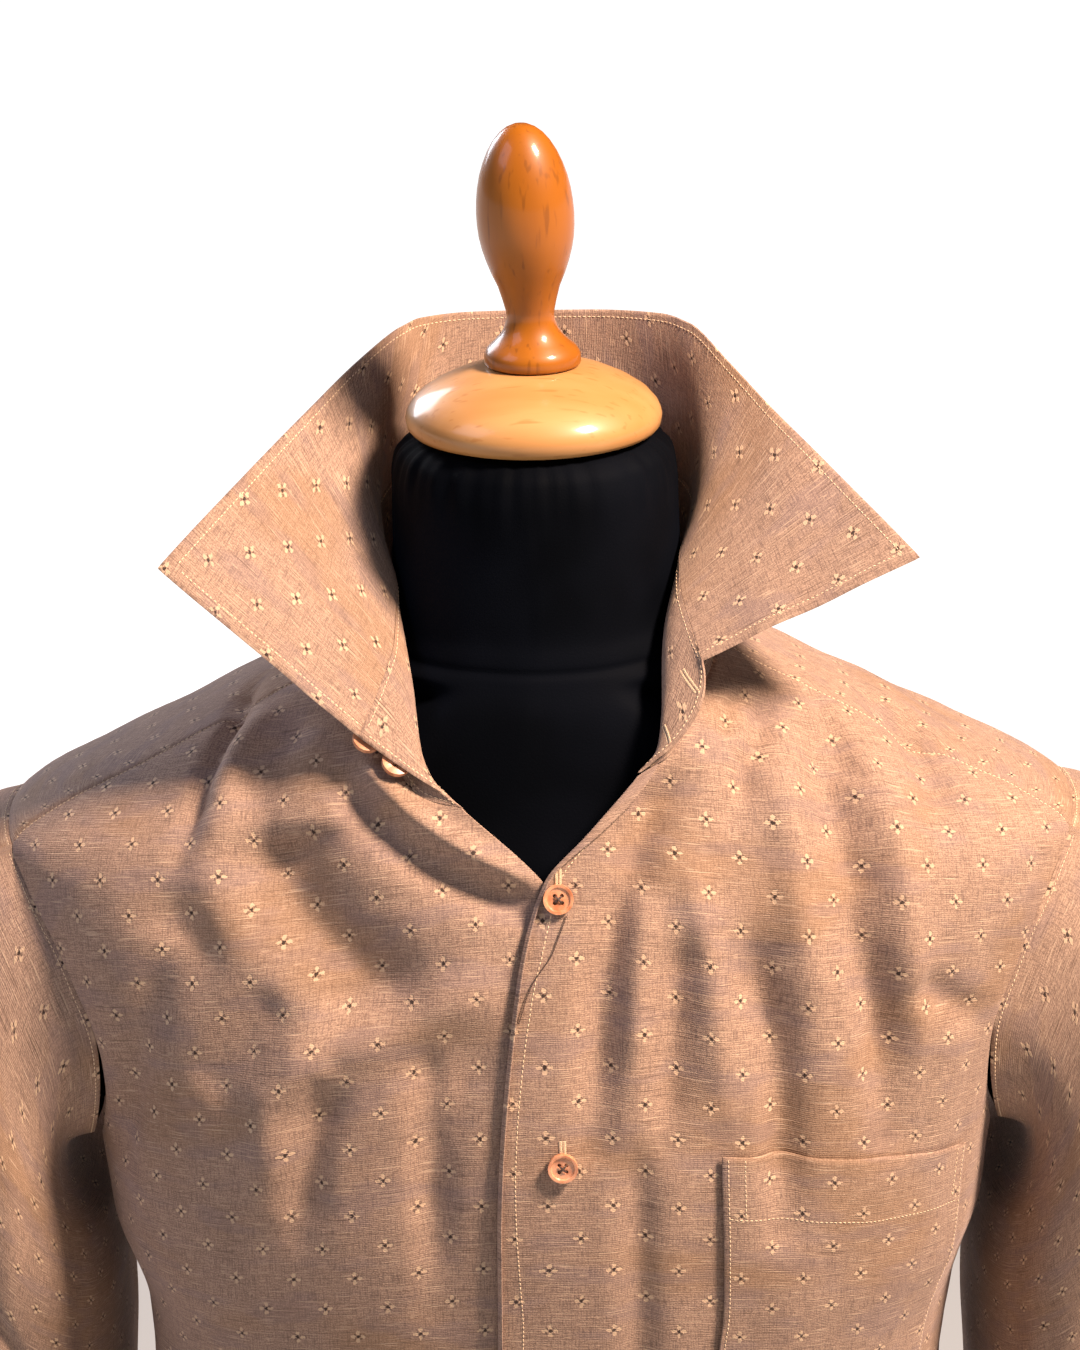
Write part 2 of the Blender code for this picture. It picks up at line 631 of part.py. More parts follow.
def sleeve_rings(runs):
    """Rings of points down the wearer's left sleeve, and how much each one is the armhole's."""
    hole, out, angle = armhole_ring()
    low = fade(-np.cos(angle), 0.1, 1)
    wide = np.concatenate([hole[-1:], hole, hole[:1]])
    away = np.cross(unit(wide[2:] - wide[:-2]), out)
    away = unit(away * np.sign(away[:, :1]))
    hole = hole + away * ARM_PARTING
    hole[:, 0] = hole[:, 0] + UNDERARM_STEP * low
    rings, holds = [], []
    for run in runs:
        inner_x, inner_z, outer_x, outer_z, front, back = [
            smooth(SLEEVE_SECTIONS, k, run) * MM for k in range(1, 7)]
        inner, outer = np.array([inner_x, inner_z]), np.array([outer_x, outer_z])
        middle, reach = (inner + outer) / 2, (outer - inner) / 2
        swell = np.ones(len(angle))
        for place, width, height in SLEEVE_FOLDS:
            off = np.degrees(np.angle(np.exp(1j * (angle - math.radians(place)))))
            swell = swell + height / 30 * np.exp(-(off / (width * 5)) ** 2) * fade(run, 0.1, 0.4)
        bulge = np.sign(np.cos(angle)) * np.abs(np.cos(angle)) ** 0.9
        depth = np.where(np.sin(angle) > 0, front, back)
        across = np.sign(np.sin(angle)) * np.abs(np.sin(angle)) ** 0.9
        ring = np.stack([middle[0] + reach[0] * bulge * swell, -depth * across,
                         middle[1] + reach[1] * bulge], axis=-1)
        hold = 1 - fade(run, 0, 0.16)
        rings.append(ring * (1 - hold) + (hole + ring_shift(run)) * hold)
        holds.append(hold * (1 - low))
    return np.array(rings), out, np.array(holds) ** 4


def ring_shift(run):
    """How far the sleeve has left the armhole at the start of its run."""
    first = np.array([smooth(SLEEVE_SECTIONS, 3, 0.0), 0, smooth(SLEEVE_SECTIONS, 4, 0.0)])
    here = np.array([smooth(SLEEVE_SECTIONS, 3, run), 0, smooth(SLEEVE_SECTIONS, 4, run)])
    return (here - first) * MM * np.array([1.0, 1.0, 0.5])


def mirrored(grid):
    """The same points on the wearer's right side."""
    return grid * np.array([-1.0, 1.0, 1.0])


def build_sleeves(cloth):
    """Both sleeves and cuffs, hanging empty and clear of the body."""
    runs = (0, 0.02, 0.05, 0.09, 0.14, 0.2, 0.28, 0.37, 0.47, 0.58, 0.7, 0.84, 1)
    near, hole_out, hold = sleeve_rings(runs)
    out = grid_normal(near, ring=True)
    out = out * np.sign(out[6, 0, 0])
    out = unit(out * (1 - hold[..., None]) + hole_out[None] * hold[..., None])
    far = near + out * BODY_WALL
    top = near[-1].copy()
    top[:, 2] = top[:, 2] - SEAM_GAP - BODY_WALL * 0.4
    levels = np.array([0.0, 0.5, 1.0])[:, None, None]
    bottom = top * np.array([1, 1, 0]) + np.array([0, 0, CUFF_BOTTOM])
    cuff = top * (1 - levels) + bottom * levels
    cuff_out = grid_normal(cuff, ring=True)
    cuff_far = cuff + cuff_out * np.sign(cuff_out[1, 0, 0]) * COLLAR_WALL
    for name, shift in (("left", np.array), ("right", mirrored)):
        wall(f"sleeve_{name}", shift(near), shift(far), cloth, ring=True)
        wall(f"cuff_{name}", shift(cuff), shift(cuff_far), cloth, ring=True)


def build_pocket(cloth):
    """The patch pocket, laid on the wearer's left front and moved out."""
    u, v = np.meshgrid(np.linspace(0, 1, 8), np.linspace(0, 1, 8))
    shares = ((1 - u) * (1 - v), u * (1 - v), u * v, (1 - u) * v)
    turn = sum(share * corner[0] for share, corner in zip(shares, POCKET_CORNERS))
    level = sum(share * corner[1] * MM for share, corner in zip(shares, POCKET_CORNERS))
    level = level - POCKET_POINT * v * (1 - np.abs(2 * u - 1))
    grid = np.stack([turn, level], axis=-1)
    panel("pocket", grid, cloth, BODY_WALL + SEAM_GAP + 0.9 * MM)


def place_button(name, point, out, material):
    """A sewn button, turned once and set flat against the cloth."""
    thing = turned(name, [(r * BUTTON_RADIUS, h * BUTTON_HEIGHT) for r, h in BUTTON_PROFILE],
                   12, material, unit_size=1.0)
    side = unit(np.cross(np.array([0.0, 0.0, 1.0]), out))
    up = np.cross(out, side)
    frame = np.column_stack([side, up, out])
    spots = np.empty(len(thing.data.vertices) * 3)
    thing.data.vertices.foreach_get("co", spots)
    spots = spots.reshape(-1, 3) @ frame.T + point
    thing.data.vertices.foreach_set("co", spots.ravel())
    return thing


def build_buttons(shell):
    """Buttons down the over lap and one on each cuff."""
    for i in range(BUTTON_COUNT):
        level = BUTTON_FIRST - i * BUTTON_STEP
        turn = turn_at(BUTTON_LINE, level)
        out = cloth_normal(turn, level)
        lift = LAP_LIFT + BODY_WALL + SEAM_GAP
        place_button(f"button_{i + 1}", cloth_point(turn, level, lift + 0.15 * MM), out, shell)
    for name, side in (("cuff_button_left", 1), ("cuff_button_right", -1)):
        outer = smooth(SLEEVE_SECTIONS, 3, 1.0) * MM
        point = np.array([side * (outer + COLLAR_WALL + 0.9 * MM), 0, CUFF_BUTTON_HEIGHT])
        place_button(name, point, np.array([float(side), 0.0, 0.0]), shell)


def build_form(jersey, honey, amber):
    """The limbless dress form, its neck cap and finial, and the stand that carries it."""
    around = 30
    turns = np.linspace(0, 360, around, endpoint=False)
    rings = [ring_point(FORM_RINGS, turns, np.full(around, row[0] * MM)) for row in FORM_RINGS]
    stack("form_torso", np.array(rings), jersey)
    cap = turned("neck_cap", CAP_PROFILE, 24, honey)
    cap.data.transform(shifted_up(NECK_TOP))
    finial = turned("finial", FINIAL_PROFILE, 18, amber, lean=FINIAL_LEAN)
    finial.data.transform(shifted_up(NECK_TOP))
    turned("stand_post", POST_PROFILE, 20, honey)
    turned("stand_base", BASE_PROFILE, 36, honey)


def shifted_up(height):
    """A matrix that lifts a mesh."""
    matrix = bpy.context.scene.cursor.matrix.copy()
    matrix.identity()
    matrix.translation = (0, 0, height)
    return matrix


def main():
    """Clear the scene and build the garment and its form."""
    for thing in list(bpy.data.objects):
        bpy.data.objects.remove(thing)
    cloth = finish("slub_cotton", (0.30, 0.20, 0.15), 0.75)
    jersey = finish("black_jersey", (0.008, 0.009, 0.012), 0.6)
    honey = finish("honey_beech", (0.66, 0.36, 0.12), 0.35)
    amber = finish("amber_beech", (0.45, 0.15, 0.02), 0.25)
    shell = finish("salmon_button", (0.78, 0.35, 0.2), 0.35)
    build_form(jersey, honey, amber)
    over = front_grid(1, FRONT_COLUMNS)
    near = cloth_point(over[..., 0], over[..., 1], lap_lift(over))
    far = cloth_point(over[..., 0], over[..., 1], lap_lift(over) + BODY_WALL)
    wall("front_left", near, far, cloth)
    panel("front_right", front_grid(-1, FRONT_COLUMNS), cloth)
    panel("back", back_grid(), cloth)
    panel("yoke", yoke_grid(), cloth)
    build_collar(cloth, shell)
    build_sleeves(cloth)
    build_pocket(cloth)
    build_buttons(shell)


main()
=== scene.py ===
"""Looks of a cotton shirt worn by a limbless dress form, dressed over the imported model.

Metres, +Z up, the garment faces -Y and the wearer's left is +X. Cloth panels are thin shells cut
from one draped surface, given by a turn round the body (0 at the front, 90 at the wearer's left,
in degrees) and a height. A UV map in tenths of a metre carries the cut, so that the weave, its
slubs and its small woven crosses run with the grain of every piece.
"""

import logging
import math
from dataclasses import dataclass, field
from enum import Enum

import bmesh
import bpy
import numpy as np
from mathutils import Matrix, Vector


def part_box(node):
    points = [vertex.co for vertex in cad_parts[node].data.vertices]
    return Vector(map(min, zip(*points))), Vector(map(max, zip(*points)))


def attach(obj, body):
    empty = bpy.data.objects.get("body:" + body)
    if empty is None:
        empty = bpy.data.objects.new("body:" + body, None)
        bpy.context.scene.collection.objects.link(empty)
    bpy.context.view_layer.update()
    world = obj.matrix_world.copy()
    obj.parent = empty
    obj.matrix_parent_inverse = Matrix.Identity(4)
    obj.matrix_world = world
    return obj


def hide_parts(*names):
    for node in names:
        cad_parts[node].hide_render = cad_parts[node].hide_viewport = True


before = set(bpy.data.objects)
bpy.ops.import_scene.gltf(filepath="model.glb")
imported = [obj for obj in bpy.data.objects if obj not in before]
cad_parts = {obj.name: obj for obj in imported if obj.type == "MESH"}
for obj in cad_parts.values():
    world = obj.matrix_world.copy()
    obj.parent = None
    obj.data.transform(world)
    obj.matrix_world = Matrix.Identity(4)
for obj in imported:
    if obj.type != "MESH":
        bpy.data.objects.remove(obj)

LOG = logging.getLogger("shirt")
Array = np.ndarray
Object = bpy.types.Object
Material = bpy.types.Material
Socket = bpy.types.NodeSocket
MM = 0.001
BODY = "root"
UV_NAME = "cut"
UV_UNIT = 0.1
SEAM_GAP = 0.3 * MM
CLOTH_FOOT = 100 * MM
CLOTH_TOP = 872 * MM
CLOTH_THICK = 0.9 * MM
CLOTH_LIFT = 0.3 * MM
COLLAR_THICK = 1.3 * MM
HEM_FRONT = 118 * MM
HEM_BACK = 112 * MM
HEM_SIDE_RISE = 62 * MM
ROW_MM_PER_TURN = 2.2
CREASE_MM_PER_TURN = 2.4


class Face(Enum):
    """The two faces of a cloth shell."""

    INNER = "inner"
    OUTER = "outer"


class Side(Enum):
    """The wearer's left and right, by the sign of X."""

    LEFT = 1
    RIGHT = -1


def linear(code: str) -> tuple[float, float, float, float]:
    """Turn an sRGB hex colour to linear light.

    Args:
        code: The colour as "#RRGGBB".

    Returns:
        Red, green, blue and an alpha of 1.
    """
    parts = [int(code[i:i + 2], 16) / 255 for i in (1, 3, 5)]
    light = [c / 12.92 if c <= 0.04045 else ((c + 0.055) / 1.055) ** 2.4 for c in parts]
    return (*light, 1.0)


def smooth(rows: tuple, column: int, at: Array | float) -> Array:
    """Read a column of a table at given places, with a curve that never overshoots.

    Args:
        rows: The table; its first column is the place, rising.
        column: The column to read.
        at: The places.

    Returns:
        The values there.
    """
    table = np.array([(row[0], row[column]) for row in rows], dtype=float)
    x, y = table[:, 0], table[:, 1]
    step, slope = np.diff(x), np.diff(y) / np.diff(x)
    tangent = np.concatenate([[slope[0]], np.zeros(len(x) - 2), [slope[-1]]])
    for i in range(1, len(x) - 1):
        if slope[i - 1] * slope[i] > 0:
            before, after = 2 * step[i] + step[i - 1], step[i] + 2 * step[i - 1]
            tangent[i] = (before + after) / (before / slope[i - 1] + after / slope[i])
    at = np.clip(np.asarray(at, dtype=float), x[0], x[-1])
    i = np.clip(np.searchsorted(x, at) - 1, 0, len(x) - 2)
    t = (at - x[i]) / step[i]
    return ((1 + 2 * t) * (1 - t) ** 2 * y[i] + t * (1 - t) ** 2 * step[i] * tangent[i]
            + t * t * (3 - 2 * t) * y[i + 1] + t * t * (t - 1) * step[i] * tangent[i + 1])


def fade(value: Array | float, start: float, end: float) -> Array:
    """Rise softly from 0 at start to 1 at end."""
    t = np.clip((value - start) / (end - start), 0, 1)
    return t * t * (3 - 2 * t)


def unit(vector: Array) -> Array:
    """The vectors at length 1."""
    return vector / np.maximum(np.linalg.norm(vector, axis=-1, keepdims=True), 1e-12)


def length(vector: Array) -> Array:
    """How long the vectors are."""
    return np.linalg.norm(vector, axis=-1)


def running(steps: Array) -> Array:
    """The sum of the steps so far, from 0, down the first axis."""
    return np.concatenate([np.zeros((1, *steps.shape[1:])), np.cumsum(steps, axis=0)])


def signed_power(value: Array, power: Array | float) -> Array:
    """A power of each value's size, with its sign kept."""
    return np.sign(value) * np.abs(value) ** power


def turn_apart(angle: Array, other: Array | float) -> Array:
    """Degrees from one angle in radians to another, the short way round."""
    return np.degrees(np.angle(np.exp(1j * (angle - other))))


def grid_normal(grid: Array, ring: bool = False) -> Array:
    """Directions square to a grid of points; a ring joins its last column to its first."""
    down = np.gradient(grid, axis=0)
    if ring:
        wide = np.concatenate([grid[:, -1:], grid, grid[:, :1]], axis=1)
        across = np.gradient(wide, axis=1)[:, 1:-1]
    else:
        across = np.gradient(grid, axis=1)
    return unit(np.cross(across, down))


def ripple(a: Array, b: Array, seed: int, count: int = 7) -> Array:
    """A soft uneven field between about -1 and 1, the same on every run.

    Args:
        a: One coordinate, in its own wavelengths.
        b: The other coordinate, in its own wavelengths.
        seed: Chooses the field.
        count: How many waves are added up.

    Returns:
        The field's values.
    """
    rng = np.random.default_rng(seed)
    total = np.zeros(np.broadcast(a, b).shape)
    for _ in range(count):
        angle, phase = rng.uniform(0, 2 * math.pi, 2)
        rate = rng.uniform(0.6, 1.7) * 2 * math.pi
        total = total + np.sin(rate * (a * math.cos(angle) + b * math.sin(angle)) + phase)
    return total / math.sqrt(count) / 1.4


@dataclass(frozen=True)
class Crease:
    """A soft fold along a line on the draped surface; a negative rise is a trough.

    Attributes:
        line: Points of turn in degrees and height in mm.
        width: Distance at which it has faded, in mm.
        rise: Height of its crest, in mm.
    """

    line: tuple[tuple[float, float], ...]
    width: float
    rise: float


@dataclass
class DrapedSurface:
    """The surface that every panel of the shirt's body lies on."""

    rings: tuple = (
        (105, 186, 125, 128), (200, 184, 124, 127), (290, 179, 123, 124), (350, 175, 122, 121),
        (450, 169, 121, 114), (530, 169, 123, 114), (575, 172, 126, 116), (595, 177, 127, 117),
        (615, 183, 128, 118), (640, 185, 128.5, 119), (660, 187, 128, 119),
        (700, 196, 124, 117.5), (735, 210, 116.5, 114), (763, 219, 109, 107.5),
        (774, 219.5, 105, 104), (781, 216.5, 102, 101.5), (787, 209.5, 100, 99.5),
        (794, 197, 97.5, 97.5), (805, 174.5, 94, 93.5), (818, 148, 89.5, 89.5),
        (831, 121.5, 82.5, 85.5), (843, 97, 74, 82), (852, 80, 68.5, 79),
        (859, 70.5, 65, 76.5), (864, 65.5, 61.5, 73.5), (868, 60.5, 57.5, 69.8),
        (872, 55.5, 53.5, 66))
    roundness: tuple = ((100, 2.45), (450, 2.35), (640, 2.5), (700, 2.4), (790, 2.15),
                        (865, 2.0), (940, 2.0))
    creases: tuple[Crease, ...] = (
        Crease(((27.5, 830), (15, 814), (10, 800), (6, 776), (4.5, 754), (4, 730), (3, 690)),
               15, -7.6),
        Crease(((59, 840), (48.5, 835), (34, 823), (24, 808)), 9, -5.4),
        Crease(((13, 772), (11, 753), (10.5, 722), (10, 690)), 13, -5.0),
        Crease(((64.5, 835), (56.5, 828), (43, 812), (33.5, 793), (30.5, 775), (30.5, 761),
                (33, 743), (37, 712), (40, 680)), 16, -8.2),
        Crease(((83, 832), (80.5, 824), (76, 817), (65, 809), (52, 795)), 14, -6.2),
        Crease(((19, 776), (19, 748), (21.5, 724), (23.5, 696), (24, 650)), 15, -7.6),
        Crease(((7, 700), (7, 680), (7, 640), (8, 560)), 13, -4.4),
        Crease(((38, 742), (44, 732), (54, 716)), 11, -4.6),
        Crease(((8.5, 795), (7.5, 760), (6.5, 715)), 10, 2.6),
        Crease(((42, 824), (30, 803), (24, 781), (24.5, 760), (26, 725)), 14, 4.4),
        Crease(((58, 826), (44, 800), (37, 781), (37, 755), (42, 715)), 13, 4.0),
        Crease(((15, 800), (13.5, 780), (14.5, 745), (16, 700)), 11, 3.2),
        Crease(((-89, 837), (-68, 828), (-58, 818), (-49, 806), (-44, 797), (-40.5, 787)),
               7, -4.4),
        Crease(((-67, 837), (-43.5, 807), (-36.5, 790)), 11, 3.2),
        Crease(((-57, 840), (-46, 822), (-34, 799), (-30, 780)), 16, -2.6),
        Crease(((-34, 830), (-27, 824), (-20, 816.5), (-12.5, 806.5), (-7, 798.5), (-3, 792.5),
                (1, 786), (6, 778)), 8.5, 6.0),
        Crease(((-34, 822), (-26, 815), (-17.5, 804), (-11, 794), (-6, 786), (-1, 778), (4, 770)),
               12, -4.5),
        Crease(((-35, 806), (-29, 794), (-24, 780), (-19, 764), (-14, 750), (-11, 735)),
               33, -12.0),
        Crease(((-18, 752), (-18, 738), (-20, 715)), 15, -2.6),
        Crease(((-3, 765), (-5.5, 748), (-11, 735), (-23, 720), (-28, 703), (-31, 660)), 18, 6.2),
        Crease(((-24, 748), (-31, 725), (-40, 700)), 18, -3.6),
        Crease(((-20, 716), (-23.5, 685), (-26, 650)), 14, -4.4),
        Crease(((-9.5, 733), (-10, 700), (-10, 650)), 13, -4.2),
        Crease(((-40.5, 789), (-36, 758), (-48.5, 710), (-60, 664)), 22, -8.0),
        Crease(((56, 843), (44, 839), (34, 831)), 5, -2.6),
        Crease(((72, 838), (63, 830), (52, 818), (46, 806)), 6, -2.8),
        Crease(((-34, 775), (-40, 735), (-52, 690), (-58, 650)), 15, 3.4),
        Crease(((-4, 740), (-8, 690), (-10, 620)), 15, -3.0),
        Crease(((70, 520), (64, 300), (60, 130)), 26, 7.0),
        Crease(((42, 500), (39, 300), (36, 120)), 30, 6.0),
        Crease(((16, 520), (13, 300), (12, 120)), 26, 4.5),
        Crease(((29, 470), (26, 300), (24, 130)), 17, -3.5),
        Crease(((54, 560), (52, 380), (49, 140)), 18, -4.0),
        Crease(((-70, 590), (-66, 350), (-62, 130)), 28, 7.0),
        Crease(((-42, 580), (-39, 350), (-36, 130)), 28, 6.0),
        Crease(((-20, 560), (-18, 350), (-16, 130)), 26, 5.0),
        Crease(((-31, 540), (-28, 350), (-26, 130)), 17, -3.6),
        Crease(((-56, 560), (-53, 350), (-50, 140)), 18, -4.0),
        Crease(((122, 700), (127, 560), (130, 420)), 24, 6.0),
        Crease(((112, 520), (110, 320), (108, 125)), 26, 7.0),
        Crease(((140, 640), (143, 380), (146, 120)), 30, 7.0),
        Crease(((166, 600), (167, 360), (168, 118)), 28, 6.0),
        Crease(((192, 690), (191, 400), (190, 116)), 30, 6.0),
        Crease(((216, 620), (216, 370), (216, 120)), 30, 7.0),
        Crease(((238, 700), (235, 560), (232, 430)), 24, 6.0),
        Crease(((250, 500), (250, 310), (250, 128)), 26, 7.0),
        Crease(((118, 735), (135, 700), (155, 640)), 16, -4.0),
        Crease(((242, 735), (226, 705), (205, 650)), 16, -4.0),
        Crease(((128, 770), (150, 745), (175, 735)), 13, 2.4),
        Crease(((232, 770), (212, 748), (190, 738)), 13, 2.4),
        Crease(((154, 560), (156, 360), (158, 120)), 16, -4.0),
        Crease(((204, 560), (203, 360), (203, 120)), 16, -4.0),
        Crease(((100, 640), (104, 560), (106, 470)), 14, -3.6),
        Crease(((262, 640), (257, 560), (255, 470)), 14, -3.6))
    fold_reach: float = 3.0
    end_fade: float = 0.22
    droop: float = 0.2
    droop_start: float = 60 * MM
    uv_table: dict = field(default_factory=dict)

    def ring_point(self, turn: Array, height: Array) -> Array:
        """A point on the smooth surface, before its folds."""
        level = np.asarray(height) / MM
        angle = np.radians(turn)
        power = 2 / smooth(self.roundness, 1, level)
        side, ahead = np.sin(angle), np.cos(angle)
        depth = np.where(ahead > 0, smooth(self.rings, 2, level), smooth(self.rings, 3, level))
        x = smooth(self.rings, 1, level) * MM * signed_power(side, power)
        y = -depth * MM * signed_power(ahead, power)
        return np.stack([x, y, np.asarray(height) + 0 * x], axis=-1)

    def normal(self, turn: Array, height: Array) -> Array:
        """The outward direction of the smooth surface, read across small steps."""
        across = self.ring_point(turn + 1.5, height) - self.ring_point(turn - 1.5, height)
        up = self.ring_point(turn, height + 2 * MM) - self.ring_point(turn, height - 2 * MM)
        return unit(np.cross(across, up))

    def relief(self, turn: Array, height: Array) -> Array:
        """How far the folds and the small unevenness of worn cotton move the cloth."""
        spot = self.ring_point(turn, height)
        total = np.zeros(spot.shape[:-1])
        for crease in self.creases:
            knots = np.array(crease.line, dtype=float)
            turns, heights = [np.interp(np.linspace(0, 1, 40), *self.spread(knots, column))
                              for column in (0, 1)]
            trace = self.ring_point(turns, heights * MM)
            best = np.full(spot.shape[:-1], np.inf)
            run = np.zeros(spot.shape[:-1])
            for i in range(len(trace) - 1):
                leg = trace[i + 1] - trace[i]
                share = np.clip((spot - trace[i]) @ leg / (leg @ leg), 0, 1)
                gap = length(spot - trace[i] - share[..., None] * leg)
                run = np.where(gap < best, (i + share) / (len(trace) - 1), run)
                best = np.minimum(best, gap)
            ends = fade(run, 0, self.end_fade) * (1 - 0.6 * fade(run, 1 - self.end_fade, 1))
            if np.abs(knots[:, 0]).max() < 91:
                side = np.sign(knots[:, 0].mean())
                wrapped = np.mod(np.asarray(turn) + 180, 360) - 180
                ends = ends * fade(wrapped * side, -1.0, 3.0)
            apart = best / (crease.width * MM)
            total = total + crease.rise * MM * ends * np.exp(-apart ** 2 * self.fold_reach)
        x, z = spot[..., 0] + spot[..., 1] * 0.4, spot[..., 2]
        fine = (ripple(x / 0.045, z / 0.11, 4) * 0.55 * MM
                + ripple(x / 0.018, z / 0.03, 9) * 0.16 * MM)
        return total + fine * fade(CLOTH_TOP - z, 0, 30 * MM)

    @staticmethod
    def spread(knots: Array, column: int) -> tuple[Array, Array]:
        """The share of a crease's run at each knot, and one column of its knots."""
        legs = np.hypot(np.diff(knots[:, 0]) * CREASE_MM_PER_TURN, np.diff(knots[:, 1]))
        return running(legs) / legs.sum(), knots[:, column]

    def point(self, turn: Array, height: Array, lift: Array | float) -> Array:
        """A point on the draped cloth, lifted off the smooth surface."""
        reach = self.relief(turn, height) + lift
        return self.ring_point(turn, height) + self.normal(turn, height) * reach[..., None]

    def turn_at(self, distance: Array, height: Array) -> Array:
        """The turn, near the front, that lies at a distance from the middle."""
        level = np.asarray(height) / MM
        share = np.asarray(distance) / (smooth(self.rings, 1, level) * MM)
        side = signed_power(share, smooth(self.roundness, 1, level) / 2)
        return np.degrees(np.arcsin(np.clip(side, -1, 1)))

    def cut(self, turn: Array, height: Array, middle: float) -> Array:
        """Where a point lies on the flat cloth it was cut from.

        The weft runs level round the body and droops towards the sides, as the worn shirt's does.

        Args:
            turn: Turns in degrees.
            height: Heights in metres.
            middle: The turn of the panel's straight grain, 0 at the front or 180 at the back.

        Returns:
            Metres along the weft and along the warp.
        """
        levels = np.linspace(CLOTH_FOOT, CLOTH_TOP, 260)
        if middle not in self.uv_table:
            turns = np.linspace(0, 125, 126)
            grid = self.ring_point(middle + turns[None, :], levels[:, None] + 0 * turns[None, :])
            arc = running(length(np.diff(grid, axis=1)).T).T
            across = np.linspace(0, 0.36, 121)
            held = np.array([np.interp(across, arc[i], turns) for i in range(len(levels))])
            path = self.ring_point(middle + held, levels[:, None] + 0 * held)
            climb = running(length(np.diff(path, axis=0)))
            start = np.argmin(np.abs(levels - 0.64))
            self.uv_table[middle] = (turns, arc, across, climb - climb[start])
        turns, arc, across, climb = self.uv_table[middle]
        off = np.asarray(turn) - middle
        row = np.clip((np.asarray(height) - levels[0]) / (levels[1] - levels[0]), 0,
                      len(levels) - 1.001)
        low, share = row.astype(int), row - row.astype(int)
        spot = np.clip(np.abs(off), 0, 124.99)
        left, part = spot.astype(int), spot - spot.astype(int)

        def blend(table: Array, column: Array, along: Array) -> Array:
            first = table[low, column] * (1 - along) + table[low, column + 1] * along
            second = table[low + 1, column] * (1 - along) + table[low + 1, column + 1] * along
            return first * (1 - share) + second * share

        u = blend(arc, left, part)
        slot = np.clip(u / (across[1] - across[0]), 0, len(across) - 1.001)
        v = blend(climb, slot.astype(int), slot - slot.astype(int))
        hang = self.droop * (np.sqrt(u ** 2 + self.droop_start ** 2) - self.droop_start)
        return np.stack([u * np.sign(off), v + hang], axis=-1)


@dataclass
class Shell:
    """A thin closed wall of cloth between two grids of points.

    Attributes:
        inner: Grid of points on the inner face.
        outer: Grid of points on the outer face.
        cut: Grid of places on the flat cloth, in metres.
        ring: Whether the last column joins the first.
    """

    inner: Array
    outer: Array
    cut: Array
    ring: bool = False

    @classmethod
    def raised(cls, points: Array, out: Array, thick: float, cut: Array,
               ring: bool = False) -> "Shell":
        """A shell that stands a thickness outward from a grid of points."""
        return cls(points, points + out * thick, cut, ring)

    def grid(self, face: Face) -> Array:
        """The grid of one face."""
        return self.inner if face is Face.INNER else self.outer

    def out(self, face: Face) -> Array:
        """Directions away from the cloth on one face."""
        direction = unit(self.outer - self.inner)
        return direction if face is Face.OUTER else -direction

    def at(self, face: Face, row: Array, column: Array) -> tuple[Array, Array]:
        """Points and directions on a face at broken rows and columns."""
        rows, columns = self.inner.shape[:2]
        row = np.clip(row, 0, rows - 1.001)
        column = np.mod(column, columns) if self.ring else np.clip(column, 0, columns - 1.001)
        i, j = row.astype(int), column.astype(int)
        a, b = (row - i)[..., None], (column - j)[..., None]
        after = (j + 1) % columns
        spots = []
        for table in (self.grid(face), self.out(face)):
            first = table[i, j] * (1 - b) + table[i, after] * b
            second = table[i + 1, j] * (1 - b) + table[i + 1, after] * b
            spots.append(first * (1 - a) + second * a)
        return spots[0], unit(spots[1])

    def build(self, name: str, material: Material) -> Object:
        """Make the shell's mesh, with its edges turned softly.

        Args:
            name: The new object's name.
            material: The cloth's finish.

        Returns:
            The object.
        """
        rows, columns = self.inner.shape[:2]
        centre = (self.inner + self.outer) / 2
        thick = np.linalg.norm(self.outer - self.inner, axis=-1, keepdims=True)
        down = np.gradient(centre, axis=0)
        across = np.gradient(centre, axis=1)
        spots = [self.inner.reshape(-1, 3), self.outer.reshape(-1, 3)]
        cuts = [self.cut.reshape(-1, 2), self.cut.reshape(-1, 2)]
        low, top = [[(i, j) for j in range(columns)] for i in (0, rows - 1)]
        if self.ring:
            loops = [low, top]
        else:
            right = [(i, columns - 1) for i in range(1, rows - 1)]
            left = [(i, 0) for i in range(rows - 2, 0, -1)]
            loops = [low + right + top[::-1] + left]
        faces = []
        span = columns if self.ring else columns - 1
        shift = rows * columns
        i, j = np.meshgrid(np.arange(rows - 1), np.arange(span), indexing="ij")
        a, b = (i * columns + j).ravel(), (i * columns + (j + 1) % columns).ravel()
        c, d = b + columns, a + columns
        faces.extend(np.stack([a, d, c, b], axis=1).tolist())
        faces.extend((np.stack([a, b, c, d], axis=1) + shift).tolist())
        total = 2 * shift
        for loop in loops:
            i, j = np.array(loop).T
            push = ((i == rows - 1) * 1.0 - (i == 0))[:, None] * unit(down[i, j])
            if not self.ring:
                side = (j == columns - 1) * 1.0 - (j == 0)
                push = push + side[:, None] * unit(across[i, j])
            push = unit(push)
            spots.append(centre[i, j] + push * thick[i, j] * 0.45)
            cuts.append(self.cut[i, j])
            base = i * columns + j
            count = len(base)
            for k in range(count):
                m = (k + 1) % count
                faces.append([int(base[k]), int(base[m]), total + m, total + k])
                faces.append([total + k, total + m, int(base[m]) + shift, int(base[k]) + shift])
            total += count
        return make_mesh(name, np.concatenate(spots), faces, material, np.concatenate(cuts))


